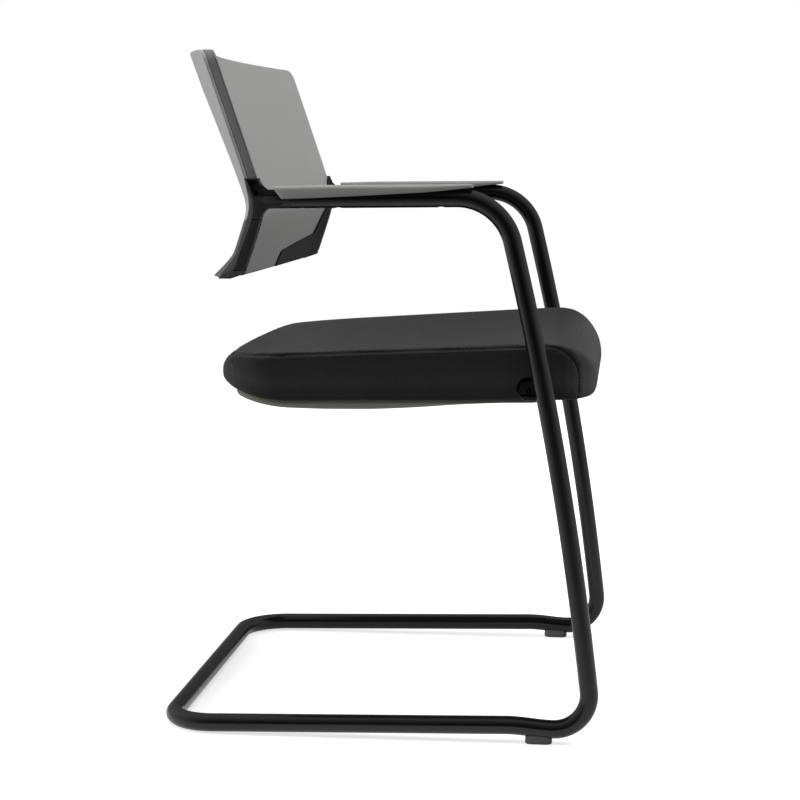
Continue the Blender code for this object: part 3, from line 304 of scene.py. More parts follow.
def noise(place, size, detail=2.0, rough=0.5):  # clouds whose lumps are about that many metres
    sockets = {"Vector": place, "Scale": 1 / size, "Detail": detail, "Roughness": rough}
    return place.node("ShaderNodeTexNoise", {}, sockets)


def tone(colour, factor):
    return tuple(min(part * factor, 1.0) for part in colour) + (1.0,)


def twoTone(share, look, dark, light):  # between a darker and a lighter tone of the finish's colour
    sockets = {0: share, 6: tone(look["colour"], dark), 7: tone(look["colour"], light)}
    return share.node("ShaderNodeMix", {"data_type": "RGBA"}, sockets, 2)


def bump(height, strength, distance):
    return height.node("ShaderNodeBump", {}, {"Strength": strength, "Distance": distance, "Height": height})


def emptyTree(owner):  # of a material or a world
    owner.use_nodes = True
    owner.node_tree.nodes.clear()
    return Wire(owner.node_tree)


def makeFinish(slot, look):
    material = bpy.data.materials.new(slot)
    wire = emptyTree(material)
    place = wire.node("ShaderNodeTexCoord", {}, {}, 3)
    shader = wire.node("ShaderNodeBsdfPrincipled", {}, look["recipe"](place, look))
    wire.node("ShaderNodeOutputMaterial", {}, {"Surface": shader})
    material.diffuse_color = tone(look["colour"], 1)
    return material


def paint(place, look):  # powder coat: a fine orange peel under a satin skin
    peel = noise(place, look["peel"], 2.0)
    cloud = noise(place, 0.06, 3.0)
    return {
        "Base Color": twoTone(cloud, look, 0.8, 1.25),
        "Roughness": look["roughness"] + (cloud - 0.5) * 0.08 + (peel - 0.5) * 0.06,
        "Specular IOR Level": look["gloss"],
        "Normal": bump(peel, look["depth"], 0.0002),
    }


def moulded(place, look):  # plastic from a spark-eroded mould: fine even grain, faint flow clouds
    grain = noise(place, look["grain"], 1.0)
    cloud = noise(place, 0.09, 2.0)
    handled = noise(place, 0.018, 4.0, 0.6)
    return {
        "Base Color": twoTone(cloud * 0.7 + grain * 0.3, look, 0.93, 1.07),
        "Roughness": look["roughness"] + (grain - 0.5) * 0.14 + (handled - 0.5) * 0.1,
        "Specular IOR Level": look["gloss"],
        "Normal": bump(grain, look["depth"], 0.0003),
    }


def plated(place, look):  # metal with fine turning marks and a cloudy plating
    marks = noise(place, 0.0006, 3.0)
    cloud = noise(place, 0.004, 3.0)
    return {
        "Base Color": twoTone(cloud, look, 0.8, 1.15),
        "Metallic": 1.0,
        "Roughness": look["roughness"] + (cloud - 0.5) * 0.2 + (marks - 0.5) * 0.1,
        "Normal": bump(marks, 0.12, 0.0001),
    }


def plywood(place, look):  # long face grain, with the plies showing at the edge
    sockets = {0: place, 1: (60.0, 4.0, 900.0)}  # lines along Y, thin plies up Z
    stretched = place.node("ShaderNodeVectorMath", {"operation": "MULTIPLY"}, sockets)
    grain = noise(stretched, 1.0, 4.0)
    pores = noise(place, 0.0015, 2.0)
    return {
        "Base Color": twoTone(grain * 0.8 + pores * 0.2, look, 0.6, 1.25),
        "Roughness": look["roughness"] + (grain - 0.5) * 0.15,
        "Normal": bump(grain, 0.2, 0.0004),
    }


def parts(vector):  # its X, Y and Z
    split = vector.node("ShaderNodeSeparateXYZ", {}, {"Vector": vector})
    return [Wire(vector.tree, socket) for socket in split.socket.node.outputs]


def woven(place, look):  # plain weave of two-tone yarn, laid in the plane that the surface faces
    x, y, z = parts(place)
    facing = parts(place.node("ShaderNodeNewGeometry", {}, {}, 1))
    faceX, faceY = [place.maths("ABSOLUTE", part) for part in facing[:2]]
    faceUp = place.maths("MAXIMUM", facing[2], 0.0)
    onSide = faceX > 0.72
    onFront = faceY > 0.72
    upright = place.maths("MAXIMUM", onSide, onFront)
    across = y * onSide + x * (1 - onSide)
    along = z * upright + y * (1 - upright)
    stray = noise(place, 0.004, 2.0)
    turn = 2 * pi / look["yarn"]
    warp = place.maths("SINE", across * turn + stray * 2.0)
    weft = place.maths("SINE", along * turn + stray * 2.0)
    crown = warp * weft * 0.5 + 0.5  # yarn tops, over and under in turn
    fuzz = noise(place, 0.0004, 2.0)
    cloud = noise(place, 0.05, 3.0)
    height = crown * 0.7 + fuzz * 0.3
    light = crown * crown * 0.85 + fuzz * 0.25 + cloud * 0.15
    paintedLight = 1 - faceUp * faceUp * look["nap"] + faceY * faceY * look["front"]  # painted shade on the top, painted light on the front
    paintedLight = paintedLight + faceUp * faceX * look["edge"]  # painted highlight where the top turns down into the side
    return {
        "Base Color": twoTone(light * paintedLight, look, 0.12, 2.2),
        "Roughness": 0.82 + fuzz * 0.15,
        "Specular IOR Level": 0.15,
        "Sheen Weight": look["sheen"],
        "Sheen Roughness": look["sheenRoughness"],
        "Sheen Tint": (0.9, 0.9, 0.92, 1.0),
        "Normal": bump(height, look["depth"], 0.0005),
    }


looks = {
    "frame_paint": dict(recipe=paint, colour=(0.0045, 0.0045, 0.0047), roughness=0.22, gloss=0.46,
                        peel=0.0014, depth=0.05),
    "plug_steel": dict(recipe=plated, colour=(0.3, 0.3, 0.31), roughness=0.45),
    "screw_zinc": dict(recipe=plated, colour=(0.5, 0.5, 0.5), roughness=0.35),
    "screw_dark": dict(recipe=plated, colour=(0.022, 0.022, 0.024), roughness=0.4),
    "board_wood": dict(recipe=plywood, colour=(0.52, 0.36, 0.2), roughness=0.65),
    "seat_fabric": dict(recipe=woven, colour=(0.03, 0.03, 0.031), yarn=0.0028, depth=0.6, sheen=0.12,
                        # the last three numbers paint shade on the top, light on the front and a highlight
                        # along the crest
                        sheenRoughness=0.4, nap=0.67, front=0.7, edge=3.5),
}
plastics = {  # colour, roughness, gloss, grain, depth of the grain
    "glide_plastic": ((0.16, 0.16, 0.16), 0.55, 0.3, 0.0008, 0.12),
    "pad_plastic": ((0.32, 0.315, 0.31), 0.42, 0.3, 0.0006, 0.08),
    "bracket_plastic": ((0.023, 0.023, 0.0235), 0.38, 0.42, 0.0006, 0.1),
    "carrier_plastic": ((0.034, 0.034, 0.0345), 0.5, 0.06, 0.0007, 0.12),
    "panel_plastic": ((0.35, 0.35, 0.345), 0.52, 0.2, 0.0008, 0.14),
    "cover_plastic": ((0.45, 0.45, 0.445), 0.52, 0.25, 0.0008, 0.14),
    "slate_plastic": ((0.13, 0.13, 0.13), 0.62, 0.04, 0.0007, 0.12),
    "strip_plastic": ((0.2, 0.2, 0.2), 0.5, 0.15, 0.0007, 0.12),
    "shell_plastic": ((0.25, 0.25, 0.217), 0.6, 0.25, 0.0009, 0.16),
}
for slot, values in plastics.items():
    looks[slot] = dict(zip(("colour", "roughness", "gloss", "grain", "depth"), values), recipe=moulded)
finishes = {slot: makeFinish(slot, look) for slot, look in looks.items()}
for part in frame["record"]["subparts"]:
    for holder in frame["nodes"][part["node"]].material_slots:
        holder.material = finishes[part["material_slot"]]
print("finishes made:", len(finishes))


# Bent tube frame

tube = {
    "radius": 0.011, "wall": 0.002, "sideX": 0.274, "baseDepth": 0.5115, "sides": 40,
    "armHeight": 0.645, "armLength": 0.194, "armFall": radians(0.5),
    "leanLow": radians(6.5), "leanHigh": radians(13.5),  # of the bowed leg, foot and top
    "topBend": 0.067, "frontBend": 0.042, "rearBend": 0.057,
    "runnerRise": 0.0095, "dipLength": 0.054, "glideHeight": 0.006,
    "padScrewSpread": 0.120, "padScrewHole": 0.0043, "grubSetback": 0.014, "grubHole": 0.0024,
}
sideX = tube["sideX"]
tubeR = tube["radius"]
boreR = tubeR - tube["wall"]
rearY = tube["baseDepth"] / 2
dipZ = tube["glideHeight"] + tubeR
dipEnd = tube["frontBend"] - rearY
dipStart = dipEnd + tube["dipLength"]


def runnerZ(y):
    return tubeR + tube["runnerRise"] * (rearY - y) / (rearY - dipStart)


legFoot = (dipEnd - tube["frontBend"] * cos(tube["leanLow"]),
           dipZ + tube["frontBend"] * (1 + sin(tube["leanLow"])))
legTopZ = tube["armHeight"] + tube["topBend"] * (sin(tube["leanHigh"]) - cos(tube["armFall"]))
legBow = (legTopZ - legFoot[1]) / (sin(tube["leanHigh"]) - sin(tube["leanLow"]))


def legPoint(lean):
    return (legFoot[0] + legBow * (cos(tube["leanLow"]) - cos(lean)),
            legFoot[1] + legBow * (sin(lean) - sin(tube["leanLow"])))


def legY(z):
    return legPoint(asin(sin(tube["leanLow"]) + (z - legFoot[1]) / legBow))[0]


def sidePath():  # centre line of one side in YZ: runner, dip, front bend, bowed leg, top bend, arm
    points = [(y, runnerZ(y)) for y in spread(rearY - tube["rearBend"], dipStart, 8)]
    for share in spread(0, 1, 14)[1:]:
        ease = (1 - cos(pi * share)) / 2
        points.append((dipStart - tube["dipLength"] * share,
                       runnerZ(dipStart) + (dipZ - runnerZ(dipStart)) * ease))
    bend = tube["frontBend"]
    for angle in spread(0, pi / 2 + tube["leanLow"], 22)[1:]:
        points.append((dipEnd - bend * sin(angle), dipZ + bend * (1 - cos(angle))))
    points += [legPoint(lean) for lean in spread(tube["leanLow"], tube["leanHigh"], 16)[1:]]
    bend = tube["topBend"]
    topY, topZ = legPoint(tube["leanHigh"])
    centre = (topY + bend * cos(tube["leanHigh"]), topZ - bend * sin(tube["leanHigh"]))
    for lean in spread(tube["leanHigh"], pi / 2 + tube["armFall"], 24)[1:]:
        points.append((centre[0] - bend * cos(lean), centre[1] + bend * sin(lean)))
    armY, armZ = points[-1]
    for along in spread(0, tube["armLength"], 6)[1:]:
        points.append((armY + along * cos(tube["armFall"]), armZ - along * sin(tube["armFall"])))
    return points


sideLine = sidePath()
armEnd = sideLine[-1]
armBack = Vector((0, cos(tube["armFall"]), -sin(tube["armFall"])))
armUp = Vector((0, sin(tube["armFall"]), cos(tube["armFall"])))


def armPoint(side, beforeEnd):  # on the arm's centre line, measured forward from the tube's end
    return Vector((side * sideX, *armEnd)) - armBack * beforeEnd


def framePath():
    bend = tube["rearBend"]
    corner = []
    for angle in spread(pi / 2, 0, 18)[:-1]:
        y = rearY - bend + bend * sin(angle)
        corner.append(Vector((sideX - bend + bend * cos(angle), y, runnerZ(y))))
    right = corner + [Vector((sideX, y, z)) for y, z in sideLine]
    return [otherSide(point) for point in reversed(right)] + right


def tubeRoom(side, extra=0.01):  # one side's tube with its clearance, longer at the arm, to cut seats with
    path = [Vector((side * sideX, y, z)) for y, z in sideLine]
    path.append(path[-1] + armBack * extra)
    return loft(sweep(path, tubeR + gap, tube["sides"]))


def makeFrame():
    path = framePath()
    bm = bmesh.new()
    outside = [[bm.verts.new(p) for p in points] for points in sweep(path, tubeR, tube["sides"])]
    inside = [[bm.verts.new(p) for p in points] for points in sweep(path, boreR, tube["sides"])]
    wallBetween(bm, outside)
    wallBetween(bm, inside)
    for end in (0, -1):
        wallBetween(bm, [outside[end], inside[end]])
    bmesh.ops.recalc_face_normals(bm, faces=bm.faces)
    piece = makePiece("frameTube", bm, "frame_paint", ["frame_tube"])
    holes = []
    for side in (-1, 1):
        middle = tube["armLength"] / 2 + pad["overhang"]
        for place in (middle - tube["padScrewSpread"] / 2, middle + tube["padScrewSpread"] / 2):
            start = armPoint(side, place)
            holes.append(rod(start - armUp * 2 * tubeR, start, tube["padScrewHole"]))
        start = armPoint(side, tube["grubSetback"])
        holes.append(rod(start - armUp * 2 * tubeR, start, tube["grubHole"]))
    carve(piece, holes)


# Front glides

glide = {"length": 0.032, "width": 0.018, "setback": 0.0172, "wrap": 0.005, "corner": 0.0075, "foot": 0.0012}


def makeGlide(side, name, node):
    middle = dipEnd + glide["setback"]
    levels = [(0.0, glide["foot"]), (glide["foot"] * 0.3, glide["foot"] * 0.35), (glide["foot"], 0.0),
              (tube["glideHeight"], 0.0), (tube["glideHeight"] + glide["wrap"], glide["foot"] * 0.6)]
    rings = []
    for z, inset in levels:
        low = (side * sideX - glide["width"] / 2 + inset, middle - glide["length"] / 2 + inset)
        high = (side * sideX + glide["width"] / 2 - inset, middle + glide["length"] / 2 - inset)
        outline = roundedRectangle(low, high, glide["corner"] - inset, 10)
        rings.append(levelRing(outline, z))
    piece = makePiece(name, loft(rings), "glide_plastic", [node])
    carve(piece, [tubeRoom(side)])


# Arm pads

pad = {
    "width": 0.044, "tipWidth": 0.024, "length": 0.233, "overhang": 0.0194, "slant": 0.77, "roll": 0.0045,
    "hem": 0.0008, "endShare": 0.06, "rearRound": 0.003, "tipRound": 0.004, "tipCut": 0.12,
    "widths": ((0, 0.42), (0.06, 0.48), (0.3, 0.5), (0.75, 0.45)),  # half width as a part of the width
    "crowns": ((0, 0.0041), (0.2, 0.005), (1, 0.0048)),  # top above the tube, from the rear to the tip
    "skirts": ((0.2, 0.015), (0.5, 0.0122), (0.8, 0.0088), (1, 0.0042)),  # depth of the sides
}


def bothSides(right):  # a section's right half and its mirror image
    return right + [(-x, z) for x, z in reversed(right) if x > 0]


def padSection(half, thickness):  # across the pad: crowned top, rolled edges, straight sides, small hems
    roll = min(pad["roll"], thickness * 0.5)
    hem = min(pad["hem"], thickness * 0.2)
    crest = roll * 0.12
    right = [(x, -crest * (x / (half - roll)) ** 2) for x in spread(0, half - roll, 7)]
    for a in quarter(7)[1:]:
        right.append((half - roll + roll * sin(a), -crest - (roll - crest) * (1 - cos(a))))
    right += [(half - hem * (1 - cos(a)), hem - thickness - hem * sin(a)) for a in quarter(3)]
    return bothSides(right)


def makePad(side, name, node):
    end = pad["endShare"]  # closer sections at both ends
    shares = [end * (1 - cos(a)) for a in quarter(8)] + spread(end, 1 - end, 44)[1:-1]
    shares += [1 - end * (1 - cos(a)) for a in spread(pi / 2, pad["tipCut"], 8)]
    widths = [(share, pad["width"] * part) for share, part in pad["widths"]]
    widths.append((1, pad["tipWidth"] / 2))
    rings = []
    for share in shares:
        along = pad["length"] * share - pad["overhang"]
        endRound = rim(share * pad["length"], pad["rearRound"])
        endRound += rim((1 - share) * pad["length"], pad["tipRound"]) * 0.4
        half = softBlend(share, widths, 0.03) - endRound
        crown = tubeR + softBlend(share, pad["crowns"], 0.06) - endRound * 0.4
        thickness = softBlend(share, pad["skirts"], 0.06) - endRound * 0.5
        slant = pad["slant"] * (1 - share) ** 6
        points = []
        for acrossX, down in padSection(half, thickness):
            point = armPoint(side, along - slant * down) + armUp * (crown + down)
            points.append(Vector((side * sideX + acrossX, point.y, point.z)))
        rings.append(points)
    piece = makePiece(name, loft(rings), "pad_plastic", [node])
    cheek = prism(bracketOutline(gap), side * (back["half"] - 2 * tubeR), side * (bracketX + gap))
    carve(piece, [tubeRoom(side, bracket["reach"]), cheek])


# Curved back

back = {
    "half": 0.272, "above": 0.181, "below": 0.0805, "lean": radians(18.9), "foldSoftness": 0.012,
    "sag": 0.040, "archTop": 0.003, "archBottom": 0.0125, "topCorner": 0.014, "bottomCorner": 0.007,
    "edgeThickness": 0.017, "lipHeight": 0.026, "lipFlare": 0.012, "plate": 0.0025, "shellGap": 0.0005,
    "seam": -0.016, "strip": 0.010, "railWidth": 0.0175, "railFoot": 0.0045, "web": 0.004,
    "edgeRound": 0.0009, "panelLip": 0.0012, "shadowGap": 0.0022, "shadowFade": 0.004, "cove": 0.006,
    "proud": 0.0014, "proudFrom": 0.008, "wrap": 0.0022, "railTop": 0.0094, "railBottom": 0.0127,
    "carrierWall": 0.003, "columns": 56, "seamLine": 0.0006, "lipDrop": 0.006, "lipDropStart": 0.012,
    "hornFull": 0.005, "hornTip": 0.003,
}
bulges = (  # extra thickness in the middle, by height
    (-0.0805, 0.0095), (-0.0632, 0.00585), (-0.0545, 0.0022), (0.0, 0.0005),
    (0.0543, 0.0055), (0.1376, 0.0142), (0.181, 0.016),
)
panelInsets = (  # panel outline: height above the bottom edge, and how far in from the side
    (0.0, 0.160), (0.0195, 0.150), (0.033, 0.037), (0.067, 0.0195), (0.1033, 0.0085), (0.111, 0.0012),
)
bracket = {
    "reach": 0.0318, "outer": 0.010, "foldDrop": 0.0073, "lead": 0.0025, "width": 0.0135, "above": 0.0316,
    "below": 0.0165, "topRear": 0.014, "fillet": 0.019, "filletLow": 0.0175, "rib": 0.0018, "recess": 0.0085,
    "recessFloor": 0.003, "rimEnd": 0.0235, "spigot": 0.028, "edgeRound": 0.0014,
}
bracketX = sideX + bracket["outer"]
foldY = armEnd[0] + bracket["reach"]
foldZ = armEnd[1] - bracket["foldDrop"]
innerDepth = back["plate"] + back["shellGap"]
railDepth = back["edgeThickness"] - back["plate"] - back["shellGap"]


def backFall(h):  # how far the side edge lies behind the fold at a height
    return tan(back["lean"]) * (hypot(h, back["foldSoftness"]) - back["foldSoftness"])


def middleShare(x):
    return max(1 - (x / back["half"]) ** 2, 0)


def backPoint(x, h, depth):
    arch = blend(h, ((-back["below"], -back["archBottom"]), (back["above"], back["archTop"])))
    middle = middleShare(x)
    return Vector((x, foldY + backFall(h) + back["sag"] * middle + depth, foldZ + h + arch * middle))


def coverFront(x, h):  # inner side of the covers
    return back["edgeThickness"] - back["plate"] + softBlend(h, bulges, 0.008) * middleShare(x)


def coverRear(x, h):  # outer side, with the flared lip along the bottom
    lip = max(1 - (h + back["below"]) / back["lipHeight"], 0) ** 1.5
    return coverFront(x, h) + back["plate"] + back["lipFlare"] * lip


def topHalf(h, half):  # half width with the rounded top corners
    over = h - (back["above"] - back["topCorner"])
    if over <= 0:
        return half
    return half - back["topCorner"] + sqrt(max(back["topCorner"] ** 2 - over ** 2, 0))


def panelHalf(h):
    inset = softBlend(h + back["below"], panelInsets, 0.0006)
    return min(back["half"] - inset, topHalf(h, back["half"] - back["panelLip"]))


def railHalf(h):  # proud side rails below the bracket
    if h > -bracket["below"] - 1.5 * gap:
        return back["half"]
    under = back["bottomCorner"] - (h + back["below"])
    drop = back["bottomCorner"] - sqrt(max(back["bottomCorner"] ** 2 - max(under, 0) ** 2, 0))
    return bracketX - gap - drop


def prongRear(h):  # rear edge of the rail and the bracket behind the panel's front
    knots = ((-back["below"], back["railBottom"]), (-bracket["below"], back["railTop"]),
             (0, bracket["width"] - bracket["lead"]), (bracket["above"], bracket["topRear"]))
    return softBlend(h, knots, 0.003)


def edgeSteps(radius):  # distances from an edge that draw its rounding
    return [radius * (1 - cos(a)) for a in quarter(3)]


def heights(low, high, step, radius, extra=()):
    rows = spread(low + radius, high - radius, round((high - low) / step))
    rows += [low + e for e in edgeSteps(radius)[:-1]] + [high - e for e in edgeSteps(radius)[:-1]]
    rows += [h for h in extra if low + radius < h < high - radius]
    tidy = []
    for h in sorted(rows):
        if not tidy or h - tidy[-1] > 0.00004:
            tidy.append(h)
    return tidy


def lipPoint(x, h, depth):  # on the lower cover: the ends of its lip hang down, most at the rear
    low = max(1 - (h + back["below"]) / back["lipDropStart"], 0) ** 1.5
    end = min(abs(x) / back["half"], 1) ** 6
    return backPoint(x, h - back["lipDrop"] * low * end * min(depth / railDepth, 1), depth)


def roundedPlate(rows, halfAt, frontAt, rearAt, footed=False):  # a shell of the back, rims rounded
    pointAt = lipPoint if footed else backPoint
    low, high = rows[0], rows[-1]
    radius = back["edgeRound"]
    rings = []
    for h in rows:
        half = halfAt(h)
        edge = [half - e for e in edgeSteps(radius)]
        middle = spread(radius - half, half - radius, back["columns"])[1:-1]
        if footed:  # two columns close together where the feet begin
            step = min(back["half"] + gap, half - radius - 2 * gap)
            middle = [-step - gap] + spread(-step, step, back["columns"]) + [step + gap]
        xs = [-x for x in edge] + middle + edge[::-1]
        endInset = rim(min(h - low, high - h), radius)
        front = []
        rear = []
        for x in xs:
            inset = min(endInset + rim(half - abs(x), radius), 1.2 * radius)
            front.append(pointAt(x, h, frontAt(x, h) + inset))
            rear.append(pointAt(x, h, rearAt(x, h) - inset))
        rings.append(front + rear[::-1])
    return loft(rings, True)


topRows = [back["above"] - back["topCorner"] * (1 - sin(a)) for a in quarter(12)]
footRows = [back["bottomCorner"] * (1 - cos(a)) - back["below"] for a in quarter(8)]
stepRows = [-bracket["below"] - 2 * gap, -bracket["below"] - gap]
hipRows = spread(0.018 - back["below"], 0.0345 - back["below"], 48)  # where the panel's lower corners run out
hipRows += [rise - back["below"] for rise, inset in panelInsets]


def makePanel():
    rows = heights(-back["below"], back["above"], 0.0025, back["edgeRound"], topRows + hipRows)

    def half(h):  # the shadow line round the lower part of the panel
        share = min(max((-bracket["below"] - h) / back["shadowFade"], 0), 1)
        return panelHalf(h) - back["shadowGap"] * share
    bm = roundedPlate(rows, half, lambda x, h: 0, lambda x, h: back["plate"])
    makePiece("backPanel", bm, "panel_plastic", ["back_front_panel"], 60)


def makeRearCover():
    low = back["seam"] + gap / 2
    rows = heights(low, back["above"], 0.003, back["edgeRound"], topRows)
    flange = back["above"] - back["plate"]
    flangeHalf = back["half"] - back["topCorner"] - 4 * gap

    def inner(x, h):  # the top flange reaches forward to the panel, the side rims a little to the strips
        if abs(x) < flangeHalf and h > flange:
            return innerDepth
        atRim = abs(x) > topHalf(h, back["half"]) - back["plate"]
        return coverFront(x, h) - (back["wrap"] if atRim else 0)
    bm = roundedPlate(rows, lambda h: topHalf(h, back["half"]), inner, coverRear)
    piece = makePiece("backRearCover", bm, "cover_plastic", ["back_rear_cover"], 60)
    radius = back["topCorner"]
    line = [(back["half"], h) for h in spread(low - radius, back["above"] - radius, 60)]
    for a in quarter(12)[1:]:
        line.append((back["half"] - radius * (1 - cos(a)), back["above"] - radius * (1 - sin(a))))
    grooves = []
    for side in (-1, 1):
        path = [backPoint(side * x, h, coverFront(x, h) + back["seamLine"]) for x, h in line]
        grooves.append(loft(sweep(path, back["seamLine"], 8)))
    carve(piece, grooves, sharp=60)


def makeLowerCover():  # with a foot at both ends that reaches forward under the side rails
    footTop = back["railFoot"] - back["below"]
    rows = heights(-back["below"], back["seam"] - gap / 2, 0.002, back["edgeRound"],
                   footRows + stepRows + [footTop, footTop + gap])

    def inner(x, h):
        inFoot = h < footTop + gap / 2 and abs(x) > back["half"] + 1.5 * gap
        return 0 if inFoot else coverFront(x, h)
    bm = roundedPlate(rows, railHalf, inner, coverRear, True)
    piece = makePiece("backLowerCover", bm, "slate_plastic", ["back_lower_cover"], 60)
    carve(piece, [coverHorn(-1), coverHorn(1)], "UNION", 60)


def coverHorn(side):  # the cover's end runs up behind the bracket to the edge strip
    innerX = back["half"] + gap
    knots = ((back["hornFull"], bracketX - gap), (bracket["above"], innerX + back["hornTip"]))
    rings = []
    for h in spread(back["railFoot"] / 2 - back["below"], bracket["above"] - gap, 50):
        outerX = softBlend(h, knots, 0.002)
        outerX = min(outerX, railHalf(h)) if h < -bracket["below"] - 2 * gap else outerX
        outer = (outerX, back["edgeThickness"] - gap)
        outline = roundedRectangle((innerX, prongRear(h) + gap), outer, back["edgeRound"], 3)
        rings.append([backPoint(side * x, h, depth) for x, depth in outline])
    return loft(rings)


def makeRail(side, name, node):  # proud rail between the bracket and the cover's foot
    radius = bracket["edgeRound"]
    low = back["railFoot"] - back["below"] + 2 * gap
    high = -bracket["below"] - 2 * gap
    rings = []
    for h in heights(low, high, 0.003, radius, footRows):
        inset = rim(min(h - low, high - h), radius) * 0.4
        outer = (railHalf(h) - inset, prongRear(h) - inset)
        outline = roundedRectangle((back["half"] + gap + inset, inset), outer, radius, 4)
        rings.append([backPoint(side * x, h, depth) for x, depth in outline])
    makePiece(name, loft(rings), "bracket_plastic", [node], 60)


def makeCarrier():  # tray behind the panel, its front flush beside the panel
    high = bracket["above"] - gap
    radius = back["edgeRound"]
    rows = heights(-back["below"], high, 0.0025, radius, hipRows)
    half = back["half"]
    pocket = half - back["railWidth"]
    rings = []
    for h in rows:
        step = min(panelHalf(h) + back["shellGap"], half - 4 * gap)
        endInset = rim(min(h - rows[0], rows[-1] - h), radius)
        cove = step + min(back["cove"], (half - step) * 0.5)  # undercut that keeps the shadow line dark
        proud = min(back["proud"], (half - step) * 0.2)
        line = [(x, endInset - proud * min((half - x) / back["proudFrom"], 1))
                for x in spread(half, step + gap, 12)]
        line += [(step + gap, endInset + gap - proud), (cove, endInset + 2 * gap - proud), (cove, innerDepth)]
        outer = spread(half, step + gap, len(line) - 1)
        inner = spread(-step, step, back["columns"])
        front = [backPoint(-x, h, depth) for x, depth in line]
        front += [backPoint(x, h, innerDepth) for x in inner]
        front += [backPoint(x, h, depth) for x, depth in reversed(line)]
        atEnd = min(h - rows[0], rows[-1] - h) < back["carrierWall"]

        def web(x):
            behind = coverFront(x, h) - back["shellGap"] if atEnd else innerDepth + back["web"]
            return backPoint(x, h, railDepth if abs(x) > pocket else behind)
        rear = [web(-x) for x in outer] + [web(x) for x in inner] + [web(x) for x in reversed(outer)]
        rings.append(front + rear[::-1])
    makePiece("backCarrier", loft(rings, True), "carrier_plastic", ["back_carrier"], 40)


def makeStrip(side, name, node):  # band from the bracket up the side edge and round the top corner
    cornerX = back["half"] - back["topCorner"]
    cornerH = back["above"] - back["topCorner"]
    low = bracket["above"]
    radius = back["edgeRound"] * 0.7
    depths = edgeSteps(radius) + spread(radius, back["strip"], 4)[1:]  # inward from the outer edge
    lines = []
    for h in [low + e for e in edgeSteps(radius)] + spread(low + radius, cornerH, 40)[1:]:
        lines.append([(back["half"] - e, h) for e in depths])
    for a in quarter(16)[1:]:
        arms = [back["topCorner"] - e for e in depths]
        lines.append([(cornerX + arm * cos(a), cornerH + arm * sin(a)) for arm in arms])
    rings = []
    for line in lines:
        front = []
        rear = []
        for (x, h), e in zip(line, depths):
            inset = min(rim(h - low, radius) + rim(e, radius), 1.2 * radius)
            front.append(backPoint(side * x, h, innerDepth + inset))
            rear.append(backPoint(side * x, h, coverFront(x, h) - back["wrap"] - back["shellGap"] - inset))
        rings.append(front + rear[::-1])
    makePiece(name, loft(rings, True), "strip_plastic", [node], 60)


# Back brackets

def prongEdge(h, offset):
    return (foldY + backFall(h) + offset, foldZ + h)


neckY = armEnd[0] + tubeR * 0.7


def bracketOutline(margin):  # Y shape in YZ, its lower prong widening into the side rail
    neck = tubeR * 0.65 + margin
    root = armEnd[1]
    foot = prongEdge(-bracket["below"], -margin)
    knee = prongEdge(-bracket["below"] / 2, -bracket["lead"] / 2 - margin)
    head = prongEdge(bracket["above"] + margin, -bracket["lead"] - margin)
    chest = prongEdge(bracket["above"] / 2, -bracket["lead"] - margin)
    under = ((neckY, root - neck), (foldY, root - tubeR * 1.05 - margin))
    over = ((neckY, root + neck), (foldY, root + tubeR * 0.95 + margin))
    outline = [under[0]]
    outline += fillet(under[0], crossing(*under, foot, knee), foot, bracket["filletLow"], 12)
    outline.append(foot)
    for h in spread(-bracket["below"], bracket["above"] + margin, 24):
        outline.append(prongEdge(h, prongRear(h)))
    outline.append(head)
    outline += fillet(head, crossing(*over, head, chest), over[0], bracket["fillet"], 14)
    outline.append(over[0])
    return outline


def makeBracket(side, name, node):
    innerX = side * (back["half"] + gap)
    plate = roundedPrism(bracketOutline(0), innerX, side * bracketX, bracket["edgeRound"])
    piece = makePiece(name, plate, "bracket_plastic", [node])
    spigotR = boreR - gap
    collar = bracket["reach"] - 4 * gap
    steps = ((-bracket["spigot"], spigotR * 0.85), (-bracket["spigot"] + boreR / 4, spigotR), (gap, spigotR),
             (gap, tubeR - gap), (3 * gap, tubeR), (collar - 2 * gap, tubeR), (collar, tubeR - gap))
    end = armPoint(side, 0)
    rings = [circle(end + armBack * along, alongX, armUp, radius, tube["sides"]) for along, radius in steps]
    carve(piece, [loft(rings)], "UNION")
    levels = spread(bracket["recessFloor"] + bracket["foldDrop"], bracket["above"] - bracket["rib"], 16)
    recess = [prongEdge(h, prongRear(h) - bracket["rib"]) for h in levels]
    recess += [prongEdge(h, bracket["rib"] - bracket["lead"]) for h in (levels[-1], bracket["rimEnd"])]
    recess += [(neckY, recess[-1][1]), (neckY, armEnd[1] + bracket["recessFloor"])]
    carve(piece, [prism(recess, side * (bracketX - bracket["recess"]), side * (bracketX + 2 * tubeR))])


# Seat

seat = {
    "axisZ": 0.4195, "lugReach": 0.0205, "nose": 0.0804, "width": 0.490, "length": 0.4605,
    "seamFront": 0.0555, "seamRear": 0.0373, "dish": 0.003, "underFront": -0.0133, "underRear": -0.0207,
    "noseHeight": 0.006, "tailHeight": 0.0095, "sidePull": 0.004, "hem": 0.010, "endCut": 0.06,
    "topEnds": ((0.054, 2), (0.034, 2)),  # length and power of the rounding at nose and tail
    "underEnds": ((0.012, 2.8), (0.086, 1.6)),
    "frontCorner": (0.044, 0.085), "rearCorner": (0.070, 0.070),  # plan corners, along and across
    "crowns": ((0.2, 0.022), (0.5, 0.0185), (0.8, 0.014), (1.0, 0.0055)), "domed": 2.6,
    "voxel": 0.004, "slack": 0.0022, "swell": 0.0027, "pressure": 4.0, "frames": 12,
}
beamY = legY(seat["axisZ"]) + seat["lugReach"]
noseY = beamY - seat["nose"]
seatHalf = seat["width"] / 2


def seamHeight(u):
    return blend(u / seat["length"], ((0, seat["seamFront"]), (1, seat["seamRear"])))


